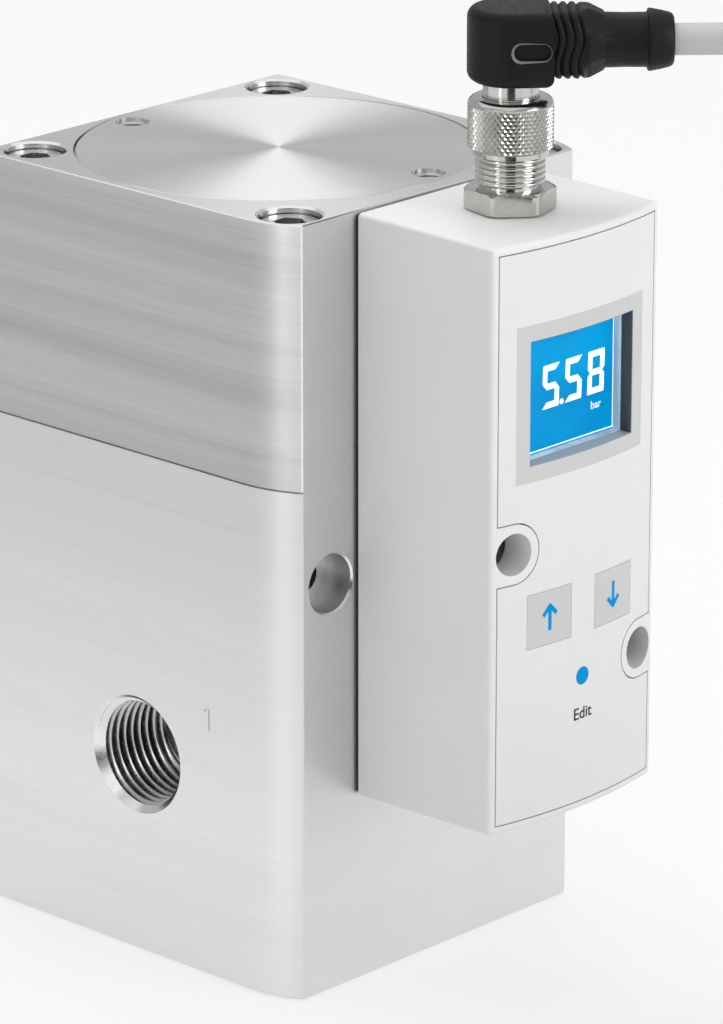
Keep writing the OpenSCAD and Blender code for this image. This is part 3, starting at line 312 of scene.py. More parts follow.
# Darker tone inside the ports and the cap's spanner holes: painted shade
SHADED_THREAD = plated("thread_painted_shade", (0.50, 0.50, 0.50), (0.66, 0.66, 0.66), 0.23)
MOUTH = plated("mouth_aluminium", (0.72, 0.72, 0.72), (0.88, 0.88, 0.875), 0.22)
DRILLED = plated("drilled_aluminium", (0.62, 0.62, 0.62), (0.72, 0.72, 0.72), 0.42)
# Pale tone for the mount holes' seats: a painted highlight
SEAT_HIGHLIGHT = plated("seat_painted_highlight", (0.90, 0.90, 0.90), (0.96, 0.96, 0.955), 0.48)
ZINC = plated("screw_steel", (0.52, 0.52, 0.53), (0.72, 0.72, 0.73), 0.24)
DARK_STEEL = plated("dark_steel", (0.05, 0.05, 0.055), (0.12, 0.12, 0.125), 0.36)
BRASS = plated("valve_brass", (0.55, 0.42, 0.2), (0.78, 0.62, 0.33), 0.28)
NICKEL = plated("nickel_plate", (0.50, 0.493, 0.48), (0.62, 0.611, 0.595), 0.12)
KNURL = plated("nickel_knurl", (0.46, 0.453, 0.44), (0.62, 0.611, 0.595), 0.17)
GOLD = plated("contact_gold", (0.7, 0.5, 0.18), (0.9, 0.7, 0.3), 0.25)
RUBBER = moulded("black_rubber", (0.025, 0.025, 0.026), 0.62, 1200, 0.02)
HOUSING = moulded("housing_plastic", (0.80, 0.80, 0.79), 0.46, 1400, 0.02, 0.975)
PANEL = moulded("panel_plastic", (0.775, 0.775, 0.775), 0.42, 1800, 0.01, 0.98)
GREY = moulded("grey_plastic", (0.60, 0.605, 0.605), 0.45, 1800, 0.01, 0.96)
BLUE = moulded("key_blue", (0.0, 0.305, 0.71), 0.55, 1800, 0.008, 0.95, Specular_IOR_Level=0.03)
BLACK = moulded("black_plastic", (0.0095, 0.0098, 0.0096), 0.46, 1500, 0.02, 0.75, Specular_IOR_Level=0.18)
# Paler grey for the plug label's chamfer: a painted highlight
RIM_HIGHLIGHT = moulded("label_rim_highlight", (0.20, 0.20, 0.20), 0.4, 1500, 0.004, 0.9)
INK = moulded("dark_print", (0.09, 0.09, 0.092), 0.5, 1500, 0.004, 0.9, Specular_IOR_Level=0.2)
# A dark sheet inside the display's recess: painted shade
RECESS_SHADE = moulded("recess_painted_shade", (0.10, 0.105, 0.11), 0.5, 1500, 0.004, 0.9)
BOARD = moulded("board_green", (0.02, 0.13, 0.05), 0.35, 500, 0.01, 0.8)
CABLE = moulded("cable_grey", (0.52, 0.525, 0.525), 0.48, 900, 0.02, 0.94)


def lit_display():
    """The display's lit glass: an even blue glow with brighter and duller patches."""
    s = Shade("display_blue", (0.0, 0.25, 0.62), 0.4, Specular_IOR_Level=0.02)
    patch = s.noise((70, 70, 95), 1.5)
    level = s.spread(patch, 0.0, 1.0, 0.32, 0.68)
    s.color(s.blend(level, (0.0, 0.09, 0.24), (0.0, 0.11, 0.27)))
    s.glow(s.blend(level, (0.0, 0.26, 0.56), (0.0, 0.35, 0.68)), 0.8)
    return s.mat


def glowing(name, scale, dark, light, strength, rough, **extra):
    """A pale tone with a little light of its own, for the lit segments and, as a painted highlight, for the
    window's edges.
    """
    s = Shade(name, light, rough, **extra)
    tone = s.blend(s.spread(s.noise(scale, 2.0), 0.0, 1.0), dark, light)
    s.color(tone)
    s.glow(tone, strength)
    return s.mat


def clear_window():
    s = Shade(
        "clear_window", (0.93, 0.97, 1.0), 0.03, Transmission_Weight=1.0, IOR=1.03, Coat_Weight=0.04,
    )
    smear = s.noise((120, 120, 120), 3.0)
    s.rough(s.spread(smear, 0.015, 0.05))
    s.bump(smear, 0.002)
    return s.mat


# Glowing pale blue on the window's sides: a painted highlight
WINDOW_HIGHLIGHT = glowing("window_highlight", (150, 150, 60), (0.40, 0.55, 0.66), (0.78, 0.86, 0.90), 0.25, 0.35)
DISPLAY = lit_display()
SEGMENT = glowing(
    "segment_white", (300, 300, 300), (0.86, 0.92, 0.97), (1.0, 1.0, 1.0), 0.8, 0.4, Specular_IOR_Level=0.08,
)
WINDOW = clear_window()


# Mesh tools

def coat(mesh, *mats):
    mesh.materials.clear()
    for mat in mats:
        mesh.materials.append(mat)


def soften(mesh, angle):
    """Smooth shading except at edges sharper than an angle."""
    mesh.shade_smooth()
    mesh.set_sharp_from_angle(angle=math.radians(angle))


def plain_mesh(name, verts, faces):
    """A mesh from points in millimetres."""
    mesh = bpy.data.meshes.new(name)
    mesh.from_pydata([[c * MM for c in v] for v in verts], [], faces)
    return mesh


def rounded_mesh(name, verts, faces, pick, width, segments):
    """A mesh whose picked edges are rounded."""
    mesh = plain_mesh(name, verts, faces)
    bm = bmesh.new()
    bm.from_mesh(mesh)
    bmesh.ops.bevel(
        bm, geom=[e for e in bm.edges if pick(*e.verts)], offset=width * MM, segments=segments,
        profile=0.5, affect="EDGES", clamp_overlap=True,
    )
    bm.to_mesh(mesh)
    bm.free()
    return mesh


def make(name, verts, faces, mat, body=ROOT, angle=35.0):
    """A piece from points in millimetres that rides on a body, if it is given one."""
    return dress(name, plain_mesh(name, verts, faces), mat, body, angle)


def dress(name, mesh, mat, body=ROOT, angle=35.0):
    """A mesh cleaned, shaded and coated as a piece."""
    bm = bmesh.new()
    bm.from_mesh(mesh)
    bmesh.ops.remove_doubles(bm, verts=bm.verts, dist=2e-7)
    bmesh.ops.recalc_face_normals(bm, faces=bm.faces)
    bm.to_mesh(mesh)
    bm.free()
    soften(mesh, angle)
    obj = bpy.data.objects.new(name, mesh)
    SCENE.collection.objects.link(obj)
    coat(mesh, mat)
    if body:
        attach(obj, body)
    return obj


def stand_in(obj, slot, *nodes):
    """A piece of the main body, for the solids it is named with."""
    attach(obj, ROOT)
    if nodes:
        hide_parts(*nodes)


def unit(n):
    """Cosine and sine of n even steps round a circle."""
    return [(math.cos(2 * math.pi * k / n), math.sin(2 * math.pi * k / n)) for k in range(n)]


def lathe(name, profile, mat, n, at, body=ROOT, angle=35.0):
    """A closed profile of (radius, height) turned about a vertical axis."""
    verts, faces = [], []
    m = len(profile)
    for c, s in unit(n):
        verts += [(at[0] + r * c, at[1] + r * s, z) for r, z in profile]
    for k in range(n):
        a, b = k * m, (k + 1) % n * m
        for i in range(m):
            j = (i + 1) % m
            faces.append((a + i, b + i, b + j, a + j))
    return make(name, verts, faces, mat, body, angle)


def loft(rings, close=True):
    """Rings of equal length joined to a skin, with both ends closed: (points, faces)."""
    n = len(rings[0])
    verts = [p for ring in rings for p in ring]
    faces = []
    for i in range(len(rings) - 1):
        for k in range(n):
            a, b = i * n + k, i * n + (k + 1) % n
            faces.append((a, b, b + n, a + n))
    if close:
        faces.append(tuple(range(n))[::-1])
        faces.append(tuple(range((len(rings) - 1) * n, len(rings) * n)))
    return verts, faces


def prism(outline, low, high, axis="z"):
    """An outline pushed along an axis: (points, faces). Along y the outline is (x, z)."""
    if axis == "z":
        rings = [[(x, y, z) for x, y in outline] for z in (low, high)]
    else:
        rings = [[(x, y, z) for x, z in outline] for y in (low, high)]
    return loft(rings)


def tool(shape):
    """A shape for cutting, not a piece."""
    return make("cutter", *shape, HOUSING, None)


def cut(obj, cutter, op="DIFFERENCE"):
    """Applies a boolean to obj and deletes the cutter."""
    mod = obj.modifiers.new("cut", "BOOLEAN")
    mod.operation = op
    mod.solver = "EXACT"
    mod.object = cutter
    bpy.context.view_layer.update()
    dg = bpy.context.evaluated_depsgraph_get()
    mesh = bpy.data.meshes.new_from_object(obj.evaluated_get(dg))
    obj.modifiers.clear()
    old = obj.data
    obj.data = mesh
    bpy.data.meshes.remove(old)
    bpy.data.objects.remove(cutter)


def bevel(obj, width, segments):
    """A small rounded edge, with the flat faces' shading kept flat."""
    mod = obj.modifiers.new("edge", "BEVEL")
    mod.width = width * MM
    mod.segments = segments
    mod.limit_method = "ANGLE"
    mod.angle_limit = math.radians(30)
    mod.harden_normals = True
    mod.use_clamp_overlap = True


def keep_flat(obj):
    """Large flat faces keep their own normal beside small curved ones."""
    mod = obj.modifiers.new("normals", "WEIGHTED_NORMAL")
    mod.mode = "FACE_AREA"
    mod.weight = 100
    mod.keep_sharp = True


def arc(cx, cy, r, a0, a1, n):
    """Points along an arc, from one angle to another in degrees."""
    turn = [math.radians(a0 + (a1 - a0) * i / n) for i in range(n + 1)]
    return [(cx + r * math.cos(a), cy + r * math.sin(a)) for a in turn]


def circle(cx, cy, r, n):
    return arc(cx, cy, r, 0, 360, n)[:-1]


def wire(name, line, r, resolution, mat):
    """A round wire along points."""
    curve = bpy.data.curves.new(name, "CURVE")
    curve.dimensions = "3D"
    curve.bevel_depth = r * MM
    curve.bevel_resolution = resolution
    curve.use_fill_caps = True
    spline = curve.splines.new("POLY")
    spline.points.add(len(line) - 1)
    for point, p in zip(spline.points, line):
        point.co = (*(c * MM for c in p), 1.0)
    spline.use_smooth = True
    obj = bpy.data.objects.new(name, curve)
    SCENE.collection.objects.link(obj)
    curve.materials.append(mat)
    return obj


# Cable: the route of the solids, then a coil of four layers on the floor

CABLE_D = 5.5
CABLE_LENGTH = 2000.0
ROUTE = [
    (19.4, -74.1, 169), (22.6, -77.3, 169), (26.2, -80.9, 169), (29.7, -84.4, 168.8),
    (37.2, -91.9, 166.6), (43.6, -98.3, 160.6), (47.8, -102.5, 151.8), (49.3, -104, 141),
    (49.3, -104, 120), (49.3, -104, 98), (49.3, -104, 76), (49.3, -104, 54),
    (49.3, -104, 29), (49.3, -106, 19), (49.3, -111.6, 10.4), (49.3, -120, 4.8),
    (49.3, -130, 2.75), (49.3, -142, 2.8), (49.3, -153.5, 3.55),
]
COIL = (10.5, -153.5)
COIL_PITCH, COIL_R, COIL_LIFT = 5.7, 32.5, 0.8
LAYERS, LAYER_TURNS, LAYER_RISE = 4, 2.2, 70
COIL_OUT = COIL_R + LAYER_TURNS * COIL_PITCH / 2
COIL_IN = COIL_R - LAYER_TURNS * COIL_PITCH / 2
COIL_STEP = 1.0 / 72
CABLE_HIGH_X, CABLE_LOW_Z = 49.29, 2.76


def through(points, steps=6):
    """A smooth line through points."""
    line = []
    for i in range(len(points) - 1):
        p0 = Vector(points[max(i - 1, 0)])
        p1, p2 = Vector(points[i]), Vector(points[i + 1])
        p3 = Vector(points[min(i + 2, len(points) - 1)])
        for k in range(steps):
            t = k / steps
            bend = (2 * p0 - 5 * p1 + 4 * p2 - p3) * t ** 2
            swing = (3 * p1 - p0 - 3 * p2 + p3) * t ** 3
            line.append(0.5 * (2 * p1 + (p2 - p0) * t + bend + swing))
    return line + [Vector(points[-1])]


def coil_point(turns):
    """A place on the coil, wound clockwise: in, up, out, up, and so on."""
    layer = int(turns / LAYER_TURNS)
    t = turns / LAYER_TURNS - layer
    r = COIL_OUT + (COIL_IN - COIL_OUT) * (t if layer % 2 == 0 else 1 - t)
    z = COIL_LIFT + CABLE_D / 2
    for change in range(1, LAYERS):
        u = (turns - change * LAYER_TURNS) * 360 / LAYER_RISE + 0.5
        u = min(max(u, 0.0), 1.0)
        z += COIL_PITCH * u * u * (3 - 2 * u)
    a = -2 * math.pi * turns
    return Vector((COIL[0] + r * math.cos(a), COIL[1] + r * math.sin(a), z))


def cable_line():
    """The route and as much of the coil as the cable's length gives, kept inside the solids' box."""
    line = through(ROUTE)
    length = sum((b - a).length for a, b in zip(line, line[1:]))
    turns = 0.0
    while True:
        p = coil_point(turns + COIL_STEP)
        d = (p - line[-1]).length
        if length + d >= CABLE_LENGTH:
            line.append(line[-1] + (p - line[-1]) * (CABLE_LENGTH - length) / d)
            return [Vector((min(q.x, CABLE_HIGH_X), q.y, max(q.z, CABLE_LOW_Z))) for q in line]
        line.append(p)
        length += d
        turns += COIL_STEP


cable_path = cable_line()
cable = wire("cable_sheath", cable_path, CABLE_D / 2, 6, CABLE)
stand_in(cable, "cable_grey", "cable", "cable_coil")


# The plug's moulded body

def plug_frame(s, t, z):
    """A place on the plug: s along the cable, t to its left, z up."""
    c, d = math.cos(TURN), math.sin(TURN)
    return (s * c - t * d, SOCKET_Y + s * d + t * c, z)


def squircle(half_w, half_h, power, n):
    """A rounded square about the origin."""
    ring = []
    for c, s in unit(n):
        d = (abs(c / half_w) ** power + abs(s / half_h) ** power) ** (-1 / power)
        ring.append((d * c, d * s))
    return ring


ELBOW_Z, ELBOW_H, ELBOW_R, ELBOW_EDGE = 162.1, 13.0, 7.5, 1.9
TAIL_Z = ELBOW_Z + 6.9
LABEL_LOW, LABEL_HIGH, LABEL_Z = 1.5, 5.0, 168.5


def make_plug_head():
    """The upright part with rounded rims and a sunk oval label on each side."""
    outline = arc(0, 0, ELBOW_R, 90, 270, 32) + [(2.0, -7.35), (6.9, -7.1), (6.9, 7.1), (2.0, 7.35)]
    verts, faces = prism(outline, ELBOW_Z, ELBOW_Z + ELBOW_H)
    verts = [plug_frame(*v) for v in verts]
    mesh = rounded_mesh("plug_head", verts, faces, lambda a, b: abs(a.co.z - b.co.z) < 1e-6, ELBOW_EDGE, 6)
    head = dress("plug_head", mesh, BLACK, None, 50)
    for side in (-1, 1):
        rings = []
        for t, r in ((6.4, 1.4), (6.95, 1.4), (7.1, 1.5), (7.6, 2.0)):
            label = arc(LABEL_HIGH, LABEL_Z, r, -90, 90, 12) + arc(LABEL_LOW, LABEL_Z, r, 90, 270, 12)
            rings.append([plug_frame(s, side * t, z) for s, z in label])
        cut(head, tool(loft(rings)))
    # The label's chamfer takes a paler grey: a painted highlight along its rim
    head.data.materials.append(RIM_HIGHLIGHT)
    c, d = math.cos(TURN), math.sin(TURN)
    for p in head.data.polygons:
        x, y, z = p.center.x / MM, p.center.y / MM - SOCKET_Y, p.center.z / MM
        s, t = x * c + y * d, y * c - x * d
        lean = abs(p.normal.y * c - p.normal.x * d)
        on_label = -0.6 < s < 7 and abs(z - LABEL_Z) < 2.2
        if on_label and 6.9 < abs(t) < 7.4 and 0.2 < lean < 0.9:
            p.material_index = 1
    return head


RIBS, RIB_PITCH = 3, 1.5
RIB = ((0.0, 5.6), (0.2, 5.8), (0.5, 5.98), (0.85, 5.98), (1.1, 5.85), (1.25, 5.65), (1.35, 5.5))
RELIEF = (
    (15.75, 4.72), (19.0, 4.62), (22.6, 4.66), (22.85, 4.75), (23.0, 5.25), (23.3, 5.35),
    (23.6, 5.3), (25.2, 5.0), (26.6, 4.65), (27.1, 4.4), (27.35, 4.0), (27.4, 2.9),
)


def make_plug_tail():
    """Wavy ribs, a faceted shoulder, the strain relief and its end collar."""
    n = 64
    rings = []

    def ring(s, half, power, wave=0.0):
        pts = []
        for y, z in squircle(half, half, power, n):
            bend = wave * math.sin(2 * math.pi * z / 9.0 + 0.6)
            pts.append(plug_frame(s + bend, y, TAIL_Z + z))
        rings.append(pts)

    def facet_ring(s, half):
        pts = []
        for k in range(n):
            a = 2 * math.pi * k / n
            b = (a + math.pi / 8) % (math.pi / 4) - math.pi / 8
            d = half / math.cos(b)
            pts.append(plug_frame(s, d * math.cos(a), TAIL_Z + d * math.sin(a)))
        rings.append(pts)

    ring(5.6, 5.6, 4.5)
    ring(6.9, 5.75, 4.5, 0.3)
    for k in range(RIBS):
        for step, half in RIB:
            ring(7.1 + RIB_PITCH * k + step, half, 4.4, 0.45)
    ring(11.75, 5.75, 4.2, 0.4)
    ring(12.05, 5.95, 4.0, 0.3)
    for s, half in ((12.7, 5.95), (13.2, 5.85), (15.5, 4.75)):
        facet_ring(s, half)
    for s, r in RELIEF:
        ring(s, r, 2.0)
    return make("plug_tail", *loft(rings), BLACK, None, 42)


def make_plug():
    plug = make_plug_head()
    cut(plug, make_plug_tail(), "UNION")
    plug.name = plug.data.name = "plug_body"
    soften(plug.data, 38)
    stand_in(plug, "black_plastic", "elbow_body")
    return plug


plug = make_plug()


# Metal parts of the connector

HEX_TURN, HEX_FLAT = 18.5, 7.1
SOCKET_FOOT = ((-10.0, 4.4), (-10.0, 6.2), (-9.7, 6.5), (0.0, 6.5), (0.0, 7.75), (0.2, 7.9))
SOCKET_THREAD = ((0.0, 5.6), (0.24, 5.95), (0.44, 6.0), (0.64, 5.95))


def make_socket():
    """A hexagon with a rounded top, a turned thread and a bore."""
    n = 96
    angles = [math.radians(HEX_TURN) + 2 * math.pi * k / n for k in range(n)]
    flats = [HEX_FLAT / math.cos((2 * math.pi * k / n) % (math.pi / 3) - math.pi / 6) for k in range(n)]
    steps = list(SOCKET_FOOT)
    steps += [(3.25 + 0.05 * k, 7.9 - 0.1 * k) for k in range(8)]
    steps += [(3.6, 5.35), (4.3, 5.3)]
    for k in range(8):
        steps += [(4.5 + k + z, r) for z, r in SOCKET_THREAD]
    steps += [(12.55, 5.6), (12.8, 5.4), (12.8, 4.4)]
    rings = []
    for z, limit in steps:
        reach = [min(h, limit) for h in flats]
        rings.append([
            (r * math.cos(a), SOCKET_Y + r * math.sin(a), CASE_HIGH + z) for r, a in zip(reach, angles)
        ])
    obj = make("connector_socket", *loft(rings + [rings[0]], close=False), NICKEL, None, 30)
    stand_in(obj, "nickel_plate", "m12_socket")


def make_nut():
    """Coupling nut: a plain foot, a diamond knurl and a polished crown."""
    z0, z1 = 149.5, 159.4
    teeth, rows = 48, 11
    crest, depth = 7.4, 0.34
    low, high = z0 + 1.4, z1 - 1.2
    foot = (
        (6.05, z1 - 2.9), (6.05, z0 + 0.3), (6.2, z0), (6.45, z0), (6.6, z0 + 0.15),
        (6.6, z0 + 0.95), (7.05, z0 + 1.3),
    )
    crown = (
        (7.25, high + 0.1), (7.28, z1 - 0.95), (7.1, z1 - 0.6), (6.75, z1 - 0.25), (6.35, z1 - 0.04),
        (6.1, z1), (4.95, z1), (4.8, z1 - 0.15), (4.8, z1 - 2.9),
    )
    n = 2 * teeth
    turn = unit(n)

    def ring(z, radii):
        return [(r * c, SOCKET_Y + r * s, z) for r, (c, s) in zip(radii, turn)]

    rings = [ring(z, [r] * n) for r, z in foot]
    for i in range(rows + 1):
        z = low + (high - low) * i / rows
        rings.append(ring(z, [crest - depth * ((i + k + 1) % 2) for k in range(n)]))
    rings += [ring(z, [r] * n) for r, z in crown]
    verts, faces = loft(rings + [rings[0]], close=False)
    # Each diamond is a pyramid: squares of the knurl are split along the grooves
    split = []
    for i in range(len(rings)):
        for k in range(n):
            a, b, c, d = faces[i * n + k]
            row = i - len(foot)
            if not 0 <= row < rows:
                split.append((a, b, c, d))
            elif (row + k) % 2 == 0:
                split += [(a, b, c), (a, c, d)]
            else:
                split += [(a, b, d), (b, c, d)]
    obj = make("knurled_nut", verts, split, NICKEL, "nut", 24)
    obj.data.materials.append(KNURL)
    for p in obj.data.polygons:
        p.material_index = int(low < p.center.z / MM < high and len(p.vertices) == 3)
    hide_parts("coupling_nut")
    return obj


def make_sleeve():
    low, groove, top = 153.3, 159.7, ELBOW_Z + 0.6
    profile = [
        (4.25, low), (5.8, low), (5.8, 156.3), (4.75, 156.3), (4.75, groove), (4.6, groove + 0.1),
        (4.6, groove + 0.3), (4.75, groove + 0.4), (4.75, top), (4.25, top),
    ]
    obj = lathe("plug_neck", profile, NICKEL, 96, (0, SOCKET_Y), None, 30)
    stand_in(obj, "nickel_plate", "plug_sleeve")
    return obj


make_socket()
nut = make_nut()
neck = make_sleeve()


# Coil ties and bare cores

TIE_ANGLES = (180, 300)
TIE_WIDTH, TIE_NEAR, TIE_GAP, TIE_WALL = 5.0, 3.25, 0.02, 0.76


def wrap(centres, r):
    """The tight outline round circles of one radius."""
    ring = [(x + r * c, z + r * s) for x, z in centres for c, s in unit(32)]
    return [ring[i] for i in convex_hull_2d(ring)]


def make_ties():
    """Flat bands that hug the coil's turns."""
    ties = []
    for i, angle in enumerate(TIE_ANGLES):
        c, s = math.cos(math.radians(angle)), math.sin(math.radians(angle))
        turns = []
        for p in cable_path:
            x, y = p.x - COIL[0], p.y - COIL[1]
            if x * c + y * s > 0 and abs(y * c - x * s) < TIE_NEAR:
                turns.append((x * c + y * s, p.z))

        def band(name, r, half):
            outline = wrap(turns, r)
            rings = [
                [(COIL[0] + q * c - w * s, COIL[1] + q * s + w * c, z) for q, z in outline]
                for w in (-half, half)
            ]
            return make(name, *loft(rings), BLACK, None)

        inner = CABLE_D / 2 + TIE_GAP
        tie = band("coil_tie_%d" % (i + 1), inner + TIE_WALL, TIE_WIDTH / 2)
        cut(tie, band("tie_hole", inner, TIE_WIDTH))
        soften(tie.data, 35)
        stand_in(tie, "black_plastic")
        ties.append(tie)
    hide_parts("coil_ties")
    return ties


CORES = (
    ("brown", (0.16, 0.06, 0.025)), ("white", (0.78, 0.78, 0.76)), ("blue", (0.02, 0.09, 0.4)),
    ("black", (0.02, 0.02, 0.02)), ("grey", (0.28, 0.28, 0.29)),
)
CORE_R, CORE_PITCH, CORE_RISE, CORE_INSET = 0.64, 1.4, 0.66, 0.7
CORE_START, CORE_SWEEP = 143, 54.5


def make_cores():
    """Five coloured cores side by side on top of the coil."""
    cores = []
    height = COIL_LIFT + (LAYERS - 1) * COIL_PITCH + CORE_RISE
    for i, (word, color) in enumerate(CORES):
        r = COIL_OUT - CABLE_D / 2 - CORE_INSET + i * CORE_PITCH
        mat = moulded("core_" + word, color, 0.4, 900, 0.005, 0.9)
        line = [(x, y, height) for x, y in arc(*COIL, r, CORE_START, CORE_START - CORE_SWEEP, 30)]
        core = wire("core_" + word, line, CORE_R, 4, mat)
        stand_in(core, "core_plastic")
        cores.append(core)
    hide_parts("wire_ends")
    return cores


ties = make_ties()
cores = make_cores()


# Controller housing

def boss_notch(side, z, r, edge):
    """The panel's outline round a screw boss, from low to high along one side."""
    a0, a1 = (-90, 90) if side < 0 else (270, 90)
    return [(side * edge, z - r)] + arc(side * BOSS_X, z, r, a0, a1, 24) + [(side * edge, z + r)]


def panel_outline(half, low, high, r):
    """A rectangle with a rounded notch for each boss, as (x, z)."""
    left = boss_notch(-1, BOSSES[0][1], r, half)
    right = boss_notch(1, BOSSES[1][1], r, half)
    return [(-half, low)] + left + [(-half, high), (half, high)] + right[::-1] + [(half, low)]


PANEL_HALF, PANEL_RIM, PANEL_DEPTH = 19.9, 1.3, 1.5
CAVITY = (19.0, 37.3, 137.1)
HOUSING_GAP, HOUSING_EDGE = 0.6, 0.75
BOSS_FLOOR, BOSS_SCREW_R, SOCKET_HOLE_R = 22.1, 2.2, 6.6
BEFORE, BEHIND = FRONT - 45, FRONT + 5


def make_housing():
    """The moulded shell: a curved front with rounded edges, the panel's seat, bosses and the cavity."""
    back = FRONT - HOUSING_GAP
    xs = [-CASE_HALF + 2 * CASE_HALF * i / 40 for i in range(41)]
    outline = [(-CASE_HALF, back)] + [(x, front_y(x)) for x in xs] + [(CASE_HALF, back)]

    def height(y, z):
        lean = CASE_TAPER * (FRONT - y) / CASE_APEX
        return z + lean if z == CASE_LOW else z - lean

    def outer(a, b):
        flat = abs(a.co.z - b.co.z) < 5 * MM
        side = abs(abs(a.co.x) - CASE_HALF * MM) < 1e-6 and abs(a.co.y - front_y(CASE_HALF) * MM) < 1e-6
        return min(a.co.y, b.co.y) <= (back - 0.01) * MM and (flat or side)

    rings = [[(x, y, height(y, z)) for x, y in outline] for z in (CASE_LOW, CASE_HIGH)]
    mesh = rounded_mesh("housing_shell", *loft(rings), outer, HOUSING_EDGE, 4)
    obj = dress("housing_shell", mesh, HOUSING, None)
    # Seat of the panel, behind the curved front
    low, high = CASE_LOW + CASE_TAPER + PANEL_RIM, CASE_HIGH - CASE_TAPER - PANEL_RIM
    seat = tool(prism(panel_outline(PANEL_HALF, low, high, BOSS_R), BEFORE, FRONT - 20, "y"))
    curve = [(x, front_y(x, PANEL_DEPTH)) for x in [-24 + 48 * i / 60 for i in range(61)]]
    slab = tool(prism(curve + [(24, BEFORE - 1), (-24, BEFORE - 1)], 20, 160))
    cut(seat, slab, "INTERSECT")
    cut(obj, seat)
    cut(obj, tool(prism(panel_outline(*CAVITY, BOSS_R), BEFORE, BEHIND, "y")))
    for side, z in BOSSES:
        for r, n, deep in ((BOSS_BORE / 2, 48, FRONT - BOSS_FLOOR), (BOSS_SCREW_R, 32, BEHIND)):
            cut(obj, tool(prism(circle(side * BOSS_X, z, r, n), BEFORE, deep, "y")))
    cut(obj, tool(prism(circle(0, SOCKET_Y, SOCKET_HOLE_R, 48), 130, 150)))
    soften(obj.data, 32)
    coat(obj.data, HOUSING)
    stand_in(obj, "housing_plastic", "controller_housing")


make_housing()


# Marks on the panel, the keys and the display

def raised(name, polygons, mat, body, place, proud=0.03, sunk=0.05, slices=1.2):
    """Flat polygons (x, z) laid on a surface as thin closed pieces. place(x) is the surface's y."""
    bm = bmesh.new()
    for poly in polygons:
        face = bm.faces.new([bm.verts.new((x, 0, z)) for x, z in poly])
        face.normal_update()
    xs = [v.co.x for v in bm.verts]
    x = math.floor(min(xs)) + slices
    while x < max(xs):
        geom = bm.verts[:] + bm.edges[:] + bm.faces[:]
        bmesh.ops.bisect_plane(bm, geom=geom, plane_co=(x, 0, 0), plane_no=(1, 0, 0))
        x += slices
    top = bm.faces[:]
    out = bmesh.ops.extrude_face_region(bm, geom=top)
    moved = {v for v in out["geom"] if isinstance(v, bmesh.types.BMVert)}
    for v in bm.verts:
        y = place(v.co.x)
        v.co.y = y - proud if v in moved else y + sunk
    bmesh.ops.triangulate(bm, faces=[f for f in bm.faces if len(f.verts) > 4])
    bmesh.ops.scale(bm, vec=(MM, MM, MM), verts=bm.verts)
    mesh = bpy.data.meshes.new(name)
    bm.to_mesh(mesh)
    bm.free()
    return dress(name, mesh, mat, body, 30)


def stroke(p, q, w):
    """A straight bar from p to q with round ends."""
    a = math.degrees(math.atan2(q[1] - p[1], q[0] - p[0]))
    return arc(q[0], q[1], w / 2, a - 90, a + 90, 8) + arc(p[0], p[1], w / 2, a + 90, a + 270, 8)


CAPITAL = 0.69


def letters(word, height, at, bold):
    """Polygons of a word in the built-in typeface, centred, by the height of its capitals."""
    curve = bpy.data.curves.new("word", "FONT")
    curve.body = word
    curve.align_x = "CENTER"
    curve.resolution_u = 6
    curve.offset = bold
    obj = bpy.data.objects.new("word", curve)
    SCENE.collection.objects.link(obj)
    bpy.context.view_layer.update()
    mesh = bpy.data.meshes.new_from_object(obj.evaluated_get(bpy.context.evaluated_depsgraph_get()))
    bpy.data.objects.remove(obj)
    k = height / CAPITAL
    polys = [[mesh.vertices[i].co for i in p.vertices] for p in mesh.polygons]
    out = [[(at[0] + c.x * k, at[1] + c.y * k) for c in p] for p in polys]
    bpy.data.meshes.remove(mesh)
    return out


def arrow(x, z, up):
    """A shaft with an open head, 4.9 high."""
    d = 1 if up else -1
    tip = z + d * 2.45
    shaft = stroke((x, z - d * 2.1), (x, z + d * 1.6), 0.74)
    outline = ((1.8, 1.75), (1.3, 2.3), (0.0, 1.0), (-1.3, 2.3), (-1.8, 1.75), (-0.16, 0.0), (0.16, 0.0))
    return [shaft, [(x + px, tip - d * pz) for px, pz in outline]]


KEY_X, KEY_Z = 8.2, 72.4
for word, x, up in (("up", -KEY_X, True), ("down", KEY_X, False)):
    mark = raised(word + "_arrow", arrow(x, KEY_Z, up), BLUE, word + "_button", front_y)
edit_word = raised("edit_mark", letters("Edit", 2.1, (0.1, 51.9), 0.012), INK, ROOT, front_y)

LCD_Y = FRONT - 28.4
WINDOW_Y = FRONT - 30.2
RECESS = (13.1, 100.3, 122.3)
SEGMENTS = {"5": "afgcd", "8": "abcdefg"}
DIGITS = (("5", -5.45), ("5", 0.35), ("8", 6.15))
DIGIT_Z, DIGIT_W, DIGIT_H, DIGIT_T, DIGIT_LEAN, DIGIT_GAP = 107.7, 4.2, 7.65, 1.08, 0.03, 0.05
POINT_X, POINT_R = -0.45, 0.46


